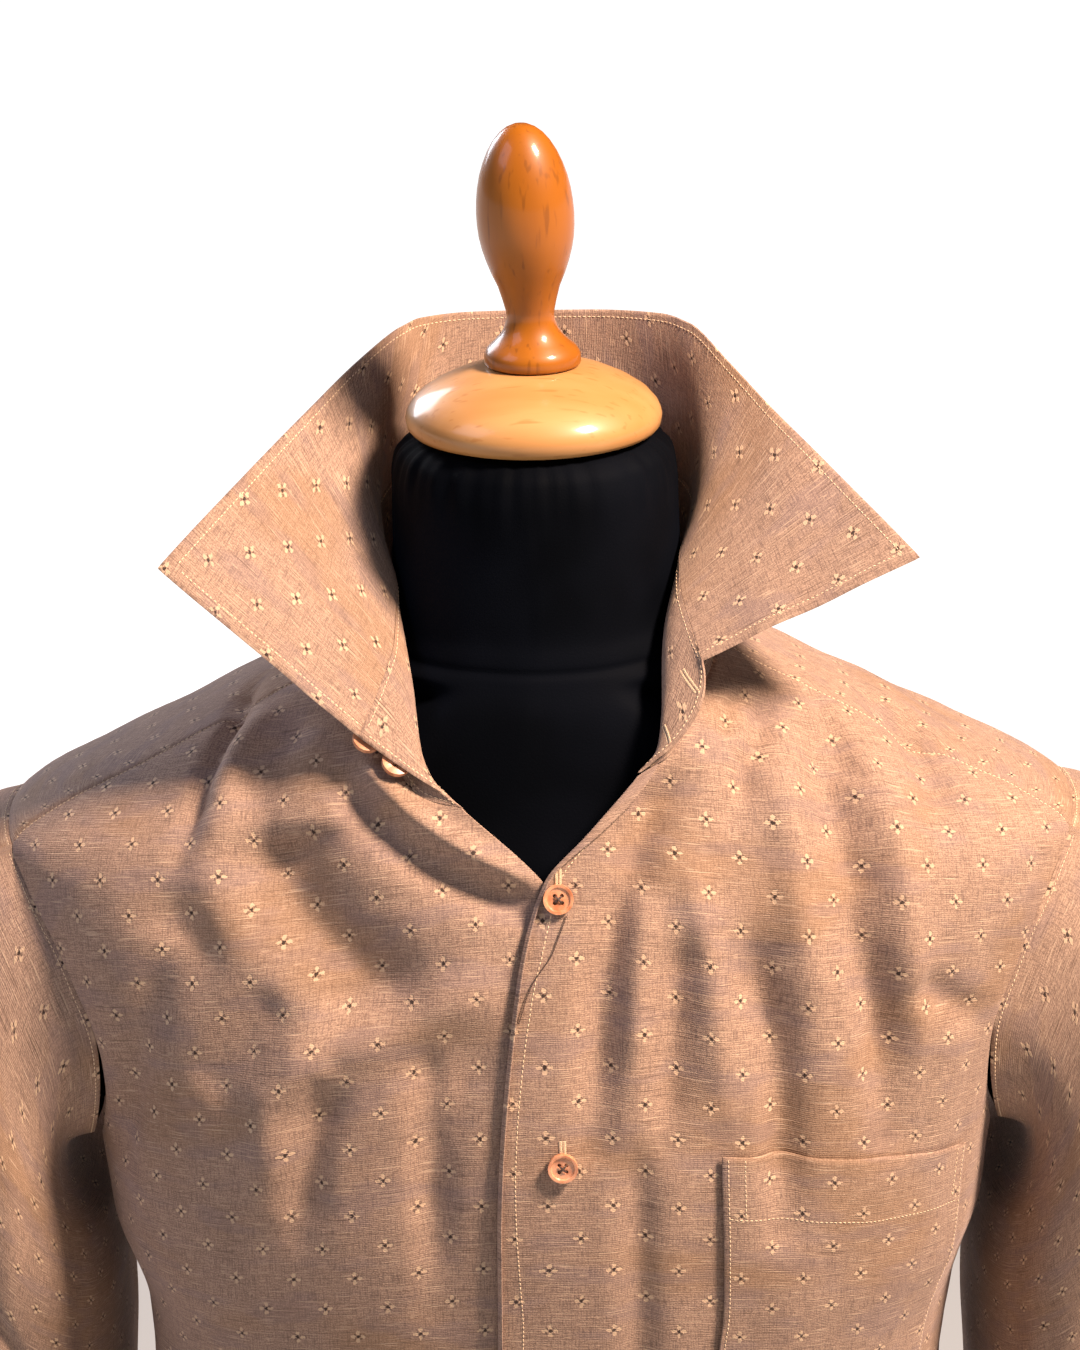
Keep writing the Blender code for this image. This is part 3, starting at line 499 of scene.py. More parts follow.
def make_mesh(name: str, spots: Array, faces: list, material: Material,
              cut: Array | None = None, smooth_angle: float = 50) -> Object:
    """Make a mesh object with outward faces and, for cloth, its cut as a UV map.

    Args:
        name: The new object's name.
        spots: Its points.
        faces: Its faces, as lists of point numbers.
        material: Its finish.
        cut: Each point's place on the flat cloth, in metres.
        smooth_angle: Edges sharper than this many degrees stay sharp.

    Returns:
        The object, linked to the scene.
    """
    mesh = bpy.data.meshes.new(name)
    mesh.from_pydata(spots.tolist(), [], faces)
    if cut is not None:
        layer = mesh.uv_layers.new(name=UV_NAME)
        corners = np.empty(len(mesh.loops), dtype=np.int64)
        mesh.loops.foreach_get("vertex_index", corners)
        layer.data.foreach_set("uv", (cut[corners] / UV_UNIT).ravel())
    shape = bmesh.new()
    shape.from_mesh(mesh)
    bmesh.ops.recalc_face_normals(shape, faces=shape.faces)
    shape.to_mesh(mesh)
    shape.free()
    mesh.materials.append(material)
    mesh.shade_smooth()
    mesh.set_sharp_from_angle(angle=math.radians(smooth_angle))
    thing = bpy.data.objects.new(name, mesh)
    bpy.context.scene.collection.objects.link(thing)
    return thing


def round_edges(thing: Object, width: float, segments: int, limit: float, sharp: float) -> None:
    """Apply the active piece's place, round its edges and shade it.

    Args:
        thing: The piece.
        width: How wide the rounding is.
        segments: Its steps.
        limit: Edges sharper than this many degrees are rounded.
        sharp: Edges that stay sharper than this many degrees are shaded sharp.
    """
    bpy.context.view_layer.objects.active = thing
    thing.select_set(True)
    bpy.ops.object.transform_apply(location=True, rotation=True, scale=True)
    bevel = thing.modifiers.new("rounding", "BEVEL")
    bevel.width, bevel.segments = width, segments
    bevel.limit_method, bevel.angle_limit = "ANGLE", math.radians(limit)
    bpy.ops.object.modifier_apply(modifier=bevel.name)
    thing.data.shade_smooth()
    thing.data.set_sharp_from_angle(angle=math.radians(sharp))


def declare(piece: Object, slot: str, *nodes: str) -> None:
    """Give a piece to the body and hide the nodes it stands for."""
    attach(piece, BODY)
    if nodes:
        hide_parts(*nodes)
    LOG.info("%s: %d faces", piece.name, len(piece.data.polygons))


def lay_sheet(node: str, shell: Shell, finish: Material) -> None:
    """Build one cloth piece and say what it was cut from.

    Args:
        node: The solid that it stands for.
        shell: Its wall.
        finish: Its cloth.
    """
    piece = shell.build(node + "_cloth", finish)
    declare(piece, "slub_cotton", node)


class Recipe:
    """A Principled material being put together, with a short method for each common node."""

    def __init__(self, name: str, values: dict) -> None:
        """Start the material, with constants on its shader's sockets."""
        self.material = bpy.data.materials.new(name)
        self.material.use_nodes = True
        self.tree = self.material.node_tree
        self.shader = self.tree.nodes["Principled BSDF"]
        for key, value in values.items():
            self.shader.inputs[key].default_value = value

    def node(self, kind: str, settings: dict | None = None,
             inputs: dict | None = None) -> bpy.types.Node:
        """Add a node.

        Args:
            kind: The node's type without the words ShaderNode.
            settings: Its own settings.
            inputs: Values or other nodes' sockets, by input name or number.

        Returns:
            The node.
        """
        node = self.tree.nodes.new("ShaderNode" + kind)
        for key, value in (settings or {}).items():
            setattr(node, key, value)
        for key, value in (inputs or {}).items():
            if isinstance(value, Socket):
                self.tree.links.new(value, node.inputs[key])
            else:
                node.inputs[key].default_value = value
        return node

    def feed(self, value: Socket, name: str) -> None:
        """Link a socket to one of the shader's inputs."""
        self.tree.links.new(value, self.shader.inputs[name])

    def place(self) -> Socket:
        """Object coordinates."""
        return self.node("TexCoord").outputs["Object"]

    def maths(self, operation: str, *values: object) -> Socket:
        """The result of a Math node on values or sockets."""
        return self.node("Math", {"operation": operation}, dict(enumerate(values))).outputs[0]

    def vector(self, operation: str, *values: object) -> Socket:
        """The result of a Vector Math node on values or sockets."""
        node = self.node("VectorMath", {"operation": operation}, dict(enumerate(values)))
        return node.outputs["Value" if operation in ("LENGTH", "DOT_PRODUCT") else "Vector"]

    def scaled(self, value: Socket, size: float) -> Socket:
        """A vector times a number."""
        return self.vector("MULTIPLY", value, (size, size, size))

    def mix(self, share: object, first: object, second: object) -> Socket:
        """Mix two colours, each a socket or a hex code, by a share."""
        pair = [linear(colour) if isinstance(colour, str) else colour
                for colour in (first, second)]
        return self.node("Mix", {"data_type": "RGBA"},
                         {0: share, 6: pair[0], 7: pair[1]}).outputs[2]

    def ramp(self, value: object, low: float, high: float, top: float = 1.0) -> Socket:
        """Rise softly from 0 at low to top at high."""
        return self.node("MapRange", {"interpolation_type": "SMOOTHSTEP"},
                         {"Value": value, "From Min": low, "From Max": high, "To Min": 0.0,
                          "To Max": top}).outputs[0]

    def noise(self, place: Socket, rate: float, detail: float, kind: str = "3D") -> list[Socket]:
        """The value and the colour of a Noise node on a place."""
        return list(self.node("TexNoise", {"noise_dimensions": kind},
                              {"Vector": place, "Scale": rate, "Detail": detail}).outputs)

    def relief(self, strength: float, depth: float, height: Socket) -> None:
        """Give the shader a fine relief, its depth in mm."""
        self.feed(self.node("Bump", None, {"Strength": strength, "Distance": depth * MM,
                                           "Height": height}).outputs[0], "Normal")


@dataclass(frozen=True)
class SlubCotton:
    """Shot plain-weave cotton: pale peach weft over brown-purple warp, matt with a soft sheen.

    Uneven yarns leave long thin slubs along the weft, and small crosses are woven in on a centred
    lattice. Threads 0.35 mm apart are too fine for the picture, so the ribs are drawn 0.8 mm apart.

    Attributes:
        streaks: Length along the weft and the warp in mm, detail and shift of each yarn's noise:
            ribs, hair, long slubs, short slubs, dark slubs, blotches, cool tones and specks.
        ovals: Centre and reach in mm of a cross's parts: level petal, upright petal, heart and
            the dark corner between petals, whose dark is partly painted shade.
    """

    name: str = "shot_slub_cotton"
    ground: str = "#886D5D"
    weft: str = "#AC8D79"
    warp: str = "#624D47"
    warm: str = "#8E6A47"
    cool: str = "#7A686B"
    slub: str = "#C6A88F"
    dark_slub: str = "#553F34"
    petal: str = "#CCAD8F"
    core: str = "#1E130E"
    rib_mm: float = 0.8
    cell_mm: tuple[float, float] = (25.0, 27.5)
    streaks: tuple = (((5.0, 0.45), 2.0, 0.0), ((0.5, 7.0), 2.0, 30.0), ((17.0, 0.62), 0.0, 70.0),
                      ((6.0, 0.5), 0.0, 140.0), ((24.0, 0.5), 0.0, 260.0),
                      ((70.0, 46.0), 1.0, 400.0), ((34.0, 12.0), 1.0, 900.0),
                      ((0.75, 0.5), 1.0, 55.0))
    ovals: tuple = (((1.95, 0.0), (1.15, 0.75)), ((0.0, 1.9), (0.85, 1.0)),
                    ((0.0, 0.0), (0.7, 0.75)), ((1.15, 1.05), (0.45, 0.4)))

    def build(self) -> Material:
        """Make the material."""
        made = Recipe(self.name, {
            "Roughness": 0.82, "IOR": 1.47, "Specular IOR Level": 0.25, "Sheen Weight": 0.3,
            "Sheen Roughness": 0.4, "Sheen Tint": linear("#D9C2BE")})
        mm = made.scaled(made.node("UVMap", {"uv_map": UV_NAME}).outputs[0], UV_UNIT / MM)
        ribs, hair, long_slub, short_slub, thin, blotch, tone, speck = [
            self.streak(made, mm, *row) for row in self.streaks]
        grain = made.maths("MULTIPLY_ADD", speck, 0.55, made.maths("MULTIPLY", ribs, 0.45))
        slubs = made.maths("MAXIMUM", made.ramp(long_slub, 0.72, 0.84, 0.5),
                           made.ramp(short_slub, 0.74, 0.86, 0.45))
        shaken = self.shaken(made, mm)
        grids = [self.cross(made, shaken, shift) for shift in (0.0, 0.5)]
        petal, core = [made.maths("MAXIMUM", *pair) for pair in zip(*grids)]
        colour = made.mix(made.ramp(grain, 0.36, 0.64), self.ground, self.weft)
        for share, over in ((made.ramp(hair, 0.45, 0.75, 0.55), self.warp),
                            (made.ramp(blotch, 0.5, 0.72, 0.35), self.warm),
                            (made.ramp(tone, 0.5, 0.7, 0.28), self.cool),
                            (made.ramp(thin, 0.7, 0.82, 0.45), self.dark_slub),
                            (slubs, self.slub), (made.maths("MULTIPLY", petal, 0.9), self.petal),
                            (made.maths("MULTIPLY", core, 0.88), self.core)):
            colour = made.mix(share, colour, over)
        made.feed(colour, "Base Color")
        wave = made.vector("MULTIPLY", mm, (0.0, 2 * math.pi / self.rib_mm, 0.0))
        rib = made.maths("SINE", made.node("SeparateXYZ", None, {0: wave}).outputs[1])
        height = made.maths("MULTIPLY_ADD", rib, 0.14, made.maths("MULTIPLY", grain, 0.9))
        for part, rise in ((slubs, 0.8), (petal, 1.2), (core, -1.4)):
            height = made.maths("MULTIPLY_ADD", part, rise, height)
        made.relief(0.55, 0.35, height)
        return made.material

    @staticmethod
    def streak(made: Recipe, mm: Socket, size: tuple[float, float], detail: float,
               shift: float) -> Socket:
        """Noise drawn out along the weft and the warp, its size in mm."""
        moved = made.vector("ADD", mm, (shift, shift * 0.37, 0.0))
        drawn = made.vector("MULTIPLY", moved, (1 / size[0], 1 / size[1], 0.0))
        return made.noise(drawn, 1.0, detail, "2D")[0]

    @staticmethod
    def shaken(made: Recipe, mm: Socket) -> Socket:
        """The place on the cloth, moved a little unevenly, as in a hand-finished weave."""
        noise = made.noise(made.scaled(mm, 0.9), 1.0, 1.0, "2D")[1]
        middle = made.vector("SUBTRACT", noise, (0.5, 0.5, 0.5))
        return made.vector("ADD", mm, made.scaled(middle, 1.3))

    def cross(self, made: Recipe, mm: Socket, shift: float) -> tuple[Socket, Socket]:
        """The petals and the dark heart of the crosses on one of the lattice's two grids."""
        wide, tall = self.cell_mm
        cells = made.vector("MULTIPLY_ADD", mm, (1 / wide, 1 / tall, 0.0), (shift, shift, 0.0))
        inside = made.vector("SUBTRACT", made.vector("FRACTION", cells), (0.5, 0.5, 0.0))
        folded = made.vector("ABSOLUTE", made.vector("MULTIPLY", inside, (wide, tall, 0.0)))
        level, upright, heart, corner = [self.oval(made, folded, *row) for row in self.ovals]
        chance = made.node("TexWhiteNoise", {"noise_dimensions": "2D"},
                           {"Vector": made.vector("FLOOR", cells)})
        strength = made.maths("MULTIPLY_ADD", chance.outputs[0], 0.35, 0.65)
        nearest = made.maths("MINIMUM", level, upright)
        # The dark corners between the petals are partly the weave's own dark and partly painted
        # shade between the raised petals; half of their weight joins the dark heart.
        petal, core, spots = [made.maths("SUBTRACT", 1.0, made.ramp(*row)) for row in (
            (nearest, 0.6, 1.25), (heart, 0.5, 1.3), (corner, 0.3, 1.6))]
        return (made.maths("MULTIPLY", petal, strength),
                made.maths("MULTIPLY_ADD", spots, 0.5, core))

    @staticmethod
    def oval(made: Recipe, spot: Socket, centre: tuple[float, float],
             reach: tuple[float, float]) -> Socket:
        """The squared distance from an oval's centre, 1 on its outline."""
        off = made.vector("SUBTRACT", spot, (*centre, 0.0))
        scaled = made.vector("DIVIDE", off, (*reach, 1.0))
        return made.vector("DOT_PRODUCT", scaled, scaled)


@dataclass(frozen=True)
class SewingThread:
    """Spun polyester thread: a matt twisted yarn, with a fine slanting twist in its relief."""

    name: str
    colour: str
    twist_mm: float = 0.5

    def build(self) -> Material:
        """Make the material."""
        made = Recipe(self.name, {
            "Roughness": 0.6, "IOR": 1.5, "Specular IOR Level": 0.4, "Sheen Weight": 0.25,
            "Base Color": linear(self.colour)})
        wave = made.node("TexWave", {"bands_direction": "DIAGONAL"},
                         {"Vector": made.place(), "Scale": 0.3 / (self.twist_mm * MM)})
        made.relief(0.4, 0.08, wave.outputs[1])
        return made.material


@dataclass(frozen=True)
class Jersey:
    """Black cotton jersey stretched over padding: near black, with a faint blue nap."""

    name: str = "black_jersey"
    deep: str = "#030407"
    lit: str = "#080A10"
    stitch_mm: float = 0.9

    def build(self) -> Material:
        """Make the material."""
        made = Recipe(self.name, {
            "Roughness": 0.7, "IOR": 1.46, "Specular IOR Level": 0.03, "Sheen Weight": 0.02,
            "Sheen Roughness": 0.3, "Sheen Tint": linear("#5C7396")})
        place = made.place()
        broad = made.noise(place, 18.0, 2.0)[0]
        made.feed(made.mix(made.ramp(broad, 0.35, 0.7), self.deep, self.lit), "Base Color")
        made.relief(0.35, 0.25, made.noise(place, 1 / (self.stitch_mm * MM), 2.0)[0])
        return made.material


@dataclass(frozen=True)
class LacqueredBeech:
    """Turned beech under clear lacquer: short fine flecks along the grain and a hard gloss."""

    name: str
    pale: str
    mid: str
    deep: str
    grain_axis: tuple[float, float, float]
    coat: float

    def build(self) -> Material:
        """Make the material."""
        made = Recipe(self.name, {
            "Roughness": 0.45, "IOR": 1.5, "Specular IOR Level": 0.25, "Coat Weight": self.coat,
            "Coat Roughness": 0.14, "Coat IOR": 1.42})
        drawn = made.vector("MULTIPLY", made.place(), self.grain_axis)
        broad, fleck, ring = [made.noise(drawn, rate, detail)[0] for rate, detail in (
            (26.0, 3.0), (420.0, 1.0), (90.0, 2.0))]
        colour = made.mix(made.ramp(broad, 0.32, 0.68), self.pale, self.mid)
        colour = made.mix(made.ramp(ring, 0.5, 0.72, 0.45), colour, self.mid)
        colour = made.mix(made.ramp(fleck, 0.6, 0.74, 0.5), colour, self.deep)
        made.feed(colour, "Base Color")
        made.relief(0.12, 0.2, fleck)
        return made.material


@dataclass(frozen=True)
class ShellButton:
    """Cast polyester button in salmon: a soft gloss with faint clouding, a little light let in."""

    name: str = "salmon_button"
    pale: str = "#D89A74"
    deep: str = "#B8714C"

    def build(self) -> Material:
        """Make the material."""
        made = Recipe(self.name, {
            "Roughness": 0.32, "IOR": 1.54, "Subsurface Weight": 0.15,
            "Subsurface Radius": (0.9 * MM, 0.5 * MM, 0.3 * MM), "Coat Weight": 0.2})
        cloud = made.noise(made.place(), 260.0, 2.0)[0]
        made.feed(made.mix(made.ramp(cloud, 0.3, 0.7), self.pale, self.deep), "Base Color")
        return made.material


@dataclass
class Finishes:
    """Every finish of the dressed form, made once."""

    cloth: Material
    cream: Material
    brown: Material
    jersey: Material
    cap: Material
    amber: Material
    button: Material

    @classmethod
    def make(cls) -> "Finishes":
        """Make them all."""
        return cls(
            SlubCotton().build(), SewingThread("cream_topstitch", "#DDBE9C").build(),
            SewingThread("brown_thread", "#4A3226").build(), Jersey().build(),
            LacqueredBeech("honey_beech", "#BE8E5A", "#AD7842", "#9C642E",
                           (0.12, 1.0, 1.0), 0.5).build(),
            LacqueredBeech("amber_beech", "#A05C0C", "#8C4D0A", "#693806",
                           (1.0, 1.0, 0.12), 0.4).build(),
            ShellButton().build())


@dataclass
class Stitching:
    """Collects stitches and makes them one mesh of small threads."""

    name: str
    material: Material
    sides: int = 5
    spots: list = field(default_factory=list)
    faces: list = field(default_factory=list)
    total: int = 0

    def stitch(self, start: Array, end: Array, out: Array, radius: float) -> None:
        """Add straight stitches that sink at both ends.

        Args:
            start: Where each begins.
            end: Where each ends.
            out: Directions off the cloth.
            radius: Half the thread's width.
        """
        along = unit(end - start)
        side = unit(np.cross(out, along))
        rise = np.cross(along, side)
        angle = np.arange(self.sides) * 2 * math.pi / self.sides
        rings = []
        for share, girth, lift in ((0.0, 0.35, -0.5), (0.25, 1.0, 0.45), (0.75, 1.0, 0.45),
                                   (1.0, 0.35, -0.5)):
            middle = start * (1 - share) + end * share + out * radius * lift
            ring = [middle + (side * math.cos(turn) * 1.15 + rise * math.sin(turn) * 0.8)
                    * radius * girth for turn in angle]
            rings.append(np.stack(ring, axis=1))
        block = np.stack(rings, axis=1)
        count = len(start)
        self.spots.append(block.reshape(-1, 3))
        size = 4 * self.sides
        base = self.total + np.arange(count)[:, None] * size
        quads = []
        for ring in range(3):
            for k in range(self.sides):
                m = (k + 1) % self.sides
                low, high = ring * self.sides, (ring + 1) * self.sides
                quads.append((low + k, low + m, high + m, high + k))
        for quad in quads:
            self.faces.extend((base + np.array(quad)).tolist())
        self.faces.extend((base + np.arange(self.sides)[::-1]).tolist())
        self.faces.extend((base + 3 * self.sides + np.arange(self.sides)).tolist())
        self.total += count * size

    def run(self, points: Array, out: Array, pitch: float = 2.0 * MM, size: float = 1.5 * MM,
            radius: float = 0.2 * MM) -> None:
        """Sew a line of stitches along a path on the cloth."""
        reach = running(length(np.diff(points, axis=0)))
        count = int(reach[-1] / pitch)
        if count < 1:
            return
        begin = np.arange(count) * pitch
        start, end, way = [
            np.stack([np.interp(place, reach, table[:, k]) for k in range(3)], axis=1)
            for place, table in ((begin, points), (begin + size, points), (begin, out))]
        self.stitch(start, end, unit(way), radius)

    def line(self, shell: Shell, face: Face, rows: Array, columns: Array,
             **options: float) -> None:
        """Sew along broken rows and columns of a shell's face."""
        points, out = shell.at(face, rows, columns)
        self.run(points, out, **options)

    def build(self) -> Object:
        """Make the mesh of all the stitches."""
        return make_mesh(self.name, np.concatenate(self.spots), self.faces, self.material,
                         smooth_angle=80)


@dataclass
class ShirtBody:
    """Fronts, back, yoke and pocket, all cut from the draped surface."""

    cloth: DrapedSurface
    finish: Material
    arm_front: tuple = ((90, 640), (81, 646), (71, 662), (63, 690), (60, 718), (61, 744),
                        (66, 765), (73, 778))
    arm_top: tuple = ((73, 778), (82, 782), (90, 783), (98, 782), (107, 775), (113, 762),
                      (117, 741))
    arm_back: tuple = ((90, 640), (99, 646), (108, 662), (115, 688), (118, 713), (117, 741))
    neck_over: tuple = ((0, 37.6, 824), (0.25, 49, 829), (0.5, 59, 841), (0.75, 64, 853),
                        (1, 63.2, 865))
    neck_under: tuple = ((0, 29.5, 814), (0.25, 44, 817), (0.5, 57, 831), (0.75, 63.5, 849),
                         (1, 63.2, 865))
    neck_back: tuple = ((70, 865), (90, 866), (115, 867), (145, 868.5), (180, 869))
    edge_over: tuple = ((100, -22), (652, -18.4), (749, -9.7), (787, 1.2), (806, 19.5),
                        (824, 37.6))
    edge_under: tuple = ((100, 20), (700, 20), (752, 18), (768, 14), (788, 0), (814, -29.5))
    edge_stops: tuple = (615, 762)
    pocket_corners: tuple = ((16, 683), (59, 660), (58, 533), (17.5, 550))
    pocket_point: float = 10 * MM
    pocket_lift: float = 2.2 * MM
    pocket_hem: float = 27 * MM
    underarm: float = 640 * MM
    yoke_turn: float = 70.0
    yoke_bow: float = 26 * MM
    yoke_parting: float = 0.2
    side_parting: float = 0.04
    lap_lift: float = 2.5 * MM
    lap_width: float = 26 * MM
    lap_fade: float = 45 * MM
    lap_top: float = 790 * MM
    roll_width: float = 7.5 * MM
    roll_start: float = 789 * MM
    roll_end: float = 822 * MM
    roll_gap: float = 2.1 * MM
    side_rows: int = 92
    arm_rows: int = 50
    top_rows: int = 20
    ridge_rows: int = 42
    front_columns: int = 112
    back_columns: int = 120
    shells: dict = field(default_factory=dict)

    def along(self, rows: tuple, count: int) -> Array:
        """Turns and heights spread evenly along a row of points."""
        table = np.array(rows, dtype=float)
        step = np.hypot(np.diff(table[:, 0]) * ROW_MM_PER_TURN, np.diff(table[:, 1]))
        run = running(step) / step.sum()
        turns, heights = [smooth(np.column_stack([run, table[:, k]]), 1, np.linspace(0, 1, count))
                          for k in (0, 1)]
        return np.stack([turns, heights * MM], axis=-1)

    @staticmethod
    def hem(turn: Array | float) -> Array:
        """Height of the shirt-tail hem."""
        angle = np.radians(turn)
        low = np.where(np.cos(angle) > 0, HEM_FRONT, HEM_BACK)
        return low + HEM_SIDE_RISE * np.sin(angle) ** 4

    def side_rise(self, shift: float) -> Array:
        """The side seam, from the hem up to the underarm."""
        level = np.linspace(float(self.hem(90.0)), self.underarm - SEAM_GAP, self.side_rows)
        return np.stack([np.full(self.side_rows, 90.0 + shift), level], axis=-1)

    @staticmethod
    def patch(bottom: Array, top: Array, left: Array, right: Array) -> Array:
        """Fill a four-sided patch of turns and heights from its edges."""
        u = np.linspace(0, 1, len(bottom))[None, :, None]
        v = np.linspace(0, 1, len(left))[:, None, None]
        ruled = ((1 - v) * bottom[None] + v * top[None] + (1 - u) * left[:, None]
                 + u * right[:, None])
        return ruled - ((1 - u) * (1 - v) * bottom[0] + u * (1 - v) * bottom[-1]
                        + (1 - u) * v * top[0] + u * v * top[-1])

    def neckline(self, side: Side, count: int) -> Array:
        """The front neckline on one side, from the front end to the yoke."""
        rows = self.neck_over if side is Side.LEFT else self.neck_under
        at = np.linspace(0, 1, count)
        level = smooth(rows, 2, at) * MM
        turn = self.cloth.turn_at(smooth(rows, 1, at) * MM, level)
        blend = fade(at, 0.6, 1)
        return np.stack([(turn * (1 - blend) + self.yoke_turn * blend) * side.value, level],
                        axis=-1)

    def yoke_edge(self, shift: float) -> Array:
        """The seam of yoke and front, from the neckline out to the armhole."""
        share = np.linspace(0, 1, self.ridge_rows)
        turn = self.yoke_turn + (self.arm_top[0][0] - self.yoke_turn) * share + shift
        level = self.neck_back[0][1] + (self.arm_top[0][1] - self.neck_back[0][1]) * share
        return np.stack([turn, level * MM], axis=-1)

    def back_seam(self, shift: float, count: int) -> Array:
        """The seam between yoke and back."""
        end = self.arm_back[-1]
        turns = np.linspace(end[0], 360 - end[0], count)
        bow = np.cos(np.radians(turns - 180)) - math.cos(math.radians(end[0] - 180))
        return np.stack([turns, end[1] * MM + bow * self.yoke_bow + shift], axis=-1)

    def front_grid(self, side: Side) -> Array:
        """Turns and heights of a front panel."""
        arm = self.along(self.arm_front, self.arm_rows + 1)[1:]
        ridge = self.yoke_edge(-self.yoke_parting)[-2::-1]
        right = np.concatenate([self.side_rise(-self.side_parting), arm, ridge])
        edge = self.edge_over if side is Side.LEFT else self.edge_under
        stops = (0, self.side_rows - 1, self.side_rows - 1 + self.arm_rows, len(right) - 1)
        level = np.interp(np.arange(len(right)), stops,
                          (float(self.hem(0.0)) / MM, *self.edge_stops, edge[-1][0]))
        turn = self.cloth.turn_at(smooth(edge, 1, level) * MM, level * MM)
        left = np.stack([turn, level * MM], axis=-1)
        right[:, 0] = right[:, 0] * side.value
        top = self.neckline(side, self.front_columns)
        top[0], top[-1] = left[-1], right[-1]
        turns = np.linspace(left[0, 0], right[0, 0], self.front_columns)
        bottom = np.stack([turns, self.hem(turns)], axis=-1)
        left[0], right[0] = bottom[0], bottom[-1]
        return self.patch(bottom, top, left, right)

    def lap(self, grid: Array) -> Array:
        """Lift of the over lap."""
        distance = self.cloth.ring_point(grid[..., 0], grid[..., 1])[..., 0]
        across = 1 - fade(distance, self.lap_width, self.lap_width + self.lap_fade)
        return self.lap_lift * across * (1 - fade(grid[..., 1], self.lap_top,
                                                  self.lap_top + 25 * MM))

    def shell(self, grid: Array, lift: Array | float, middle: float,
              thick: float = CLOTH_THICK) -> Shell:
        """A shell on the draped surface from a grid of turns and heights."""
        turn, height = grid[..., 0], grid[..., 1]
        inner = self.cloth.point(turn, height, lift + CLOTH_LIFT)
        out = self.cloth.normal(turn, height)
        return Shell.raised(inner, out, thick, self.cloth.cut(turn, height, middle))

    def over_front(self) -> Shell:
        """The wearer's left front, whose edge rolls outward above the first button."""
        grid = self.front_grid(Side.LEFT)
        flat = self.shell(grid, self.lap(grid), 0.0)
        turn, height = grid[:, 0, 0], grid[:, 0, 1]
        width = self.roll_width * fade(height, self.roll_start, self.roll_end) + 0.25 * MM
        edge = flat.inner[:, 0]
        out = self.cloth.normal(turn, height)
        inward = flat.inner[:, 1] - flat.inner[:, 0]
        inward = unit(inward - out * np.sum(inward * out, axis=-1, keepdims=True))
        strips, cuts = [], []
        for share in (1.0, 0.8, 0.6, 0.4, 0.2):
            reach = (width * share)[:, None]
            strips.append(edge + inward * reach + out * (self.roll_gap + 0.5 * MM * share))
            cuts.append(flat.cut[:, 0] - np.stack([width * share, 0 * width], axis=-1))
        for angle in (150, 120, 90, 60, 30):
            swing = math.radians(angle)
            strips.append(edge + out * (self.roll_gap / 2) * (1 - math.cos(swing))
                          - inward * CLOTH_THICK * math.sin(swing))
            cuts.append(flat.cut[:, 0])
        rolled = np.stack(strips, axis=1)
        joined = np.concatenate([rolled, flat.inner], axis=1)
        cut = np.concatenate([np.stack(cuts, axis=1), flat.cut], axis=1)
        direction = grid_normal(joined)
        direction = direction * np.sign(np.sum(direction[:, 40] * out, axis=-1).mean())
        direction[:, len(strips) + 2:] = self.cloth.normal(grid[..., 0], grid[..., 1])[:, 2:]
        return Shell(joined, joined + direction * CLOTH_THICK * 0.8, cut)

    def back_grid(self) -> Array:
        """Turns and heights of the back panel below the yoke."""
        arm = self.along(self.arm_back, self.arm_rows + 1)[1:]
        left = np.concatenate([self.side_rise(self.side_parting), arm])
        right = left.copy()
        right[:, 0] = 360 - left[:, 0]
        turns = np.linspace(90, 270, self.back_columns)
        bottom = np.stack([turns, self.hem(turns)], axis=-1)
        bottom[0], bottom[-1] = left[0], right[0]
        top = self.back_seam(-SEAM_GAP, self.back_columns)
        top[0], top[-1] = left[-1], right[-1]
        return self.patch(bottom, top, left, right)

    def yoke_grid(self) -> Array:
        """Turns and heights of the yoke."""
        seam = 88
        columns = 2 * self.top_rows + seam + 1
        turns = np.linspace(self.yoke_turn + self.yoke_parting,
                            360 - self.yoke_turn - self.yoke_parting, columns)
        level = smooth(self.neck_back, 1, 180 - np.abs(turns - 180)) * MM
        inner = np.stack([turns, level], axis=-1)
        arm = self.along(self.arm_top, self.top_rows + 1)[:-1]
        arm[0, 0] = arm[0, 0] + self.yoke_parting
        far_arm = arm[::-1] * np.array([-1, 1]) + np.array([360, 0])
        outer = np.concatenate([arm, self.back_seam(SEAM_GAP, seam + 1), far_arm])
        share = np.linspace(0, 1, self.ridge_rows)[:, None, None]
        return (1 - share) * inner[None] + share * outer[None]

    def pocket_grid(self) -> Array:
        """Turns and heights of the chest pocket, its point at the bottom."""
        u, v = np.meshgrid(np.linspace(0, 1, 56), np.linspace(0, 1, 64))
        shares = ((1 - u) * (1 - v), u * (1 - v), u * v, (1 - u) * v)
        corners = self.pocket_corners
        turn = sum(share * corner[0] for share, corner in zip(shares, corners))
        level = sum(share * corner[1] * MM for share, corner in zip(shares, corners))
        level = level - self.pocket_point * v * (1 - np.abs(2 * u - 1))
        return np.stack([turn, level], axis=-1)

    def build(self) -> None:
        """Make the body's panels and say what each was cut from."""
        self.shells["front_left"] = self.over_front()
        self.shells["front_right"] = self.shell(self.front_grid(Side.RIGHT), 0.0, 0.0)
        self.shells["back"] = self.shell(self.back_grid(), 0.0, 180.0)
        self.shells["yoke"] = self.shell(self.yoke_grid(), 0.0, 180.0)
        pocket = self.shell(self.pocket_grid(), self.pocket_lift, 0.0, 0.8 * MM)
        pocket.cut = pocket.cut + np.array([1.2, 2.0]) * MM
        self.shells["pocket"] = pocket
        for name, shell in self.shells.items():
            lay_sheet(name, shell, self.finish)


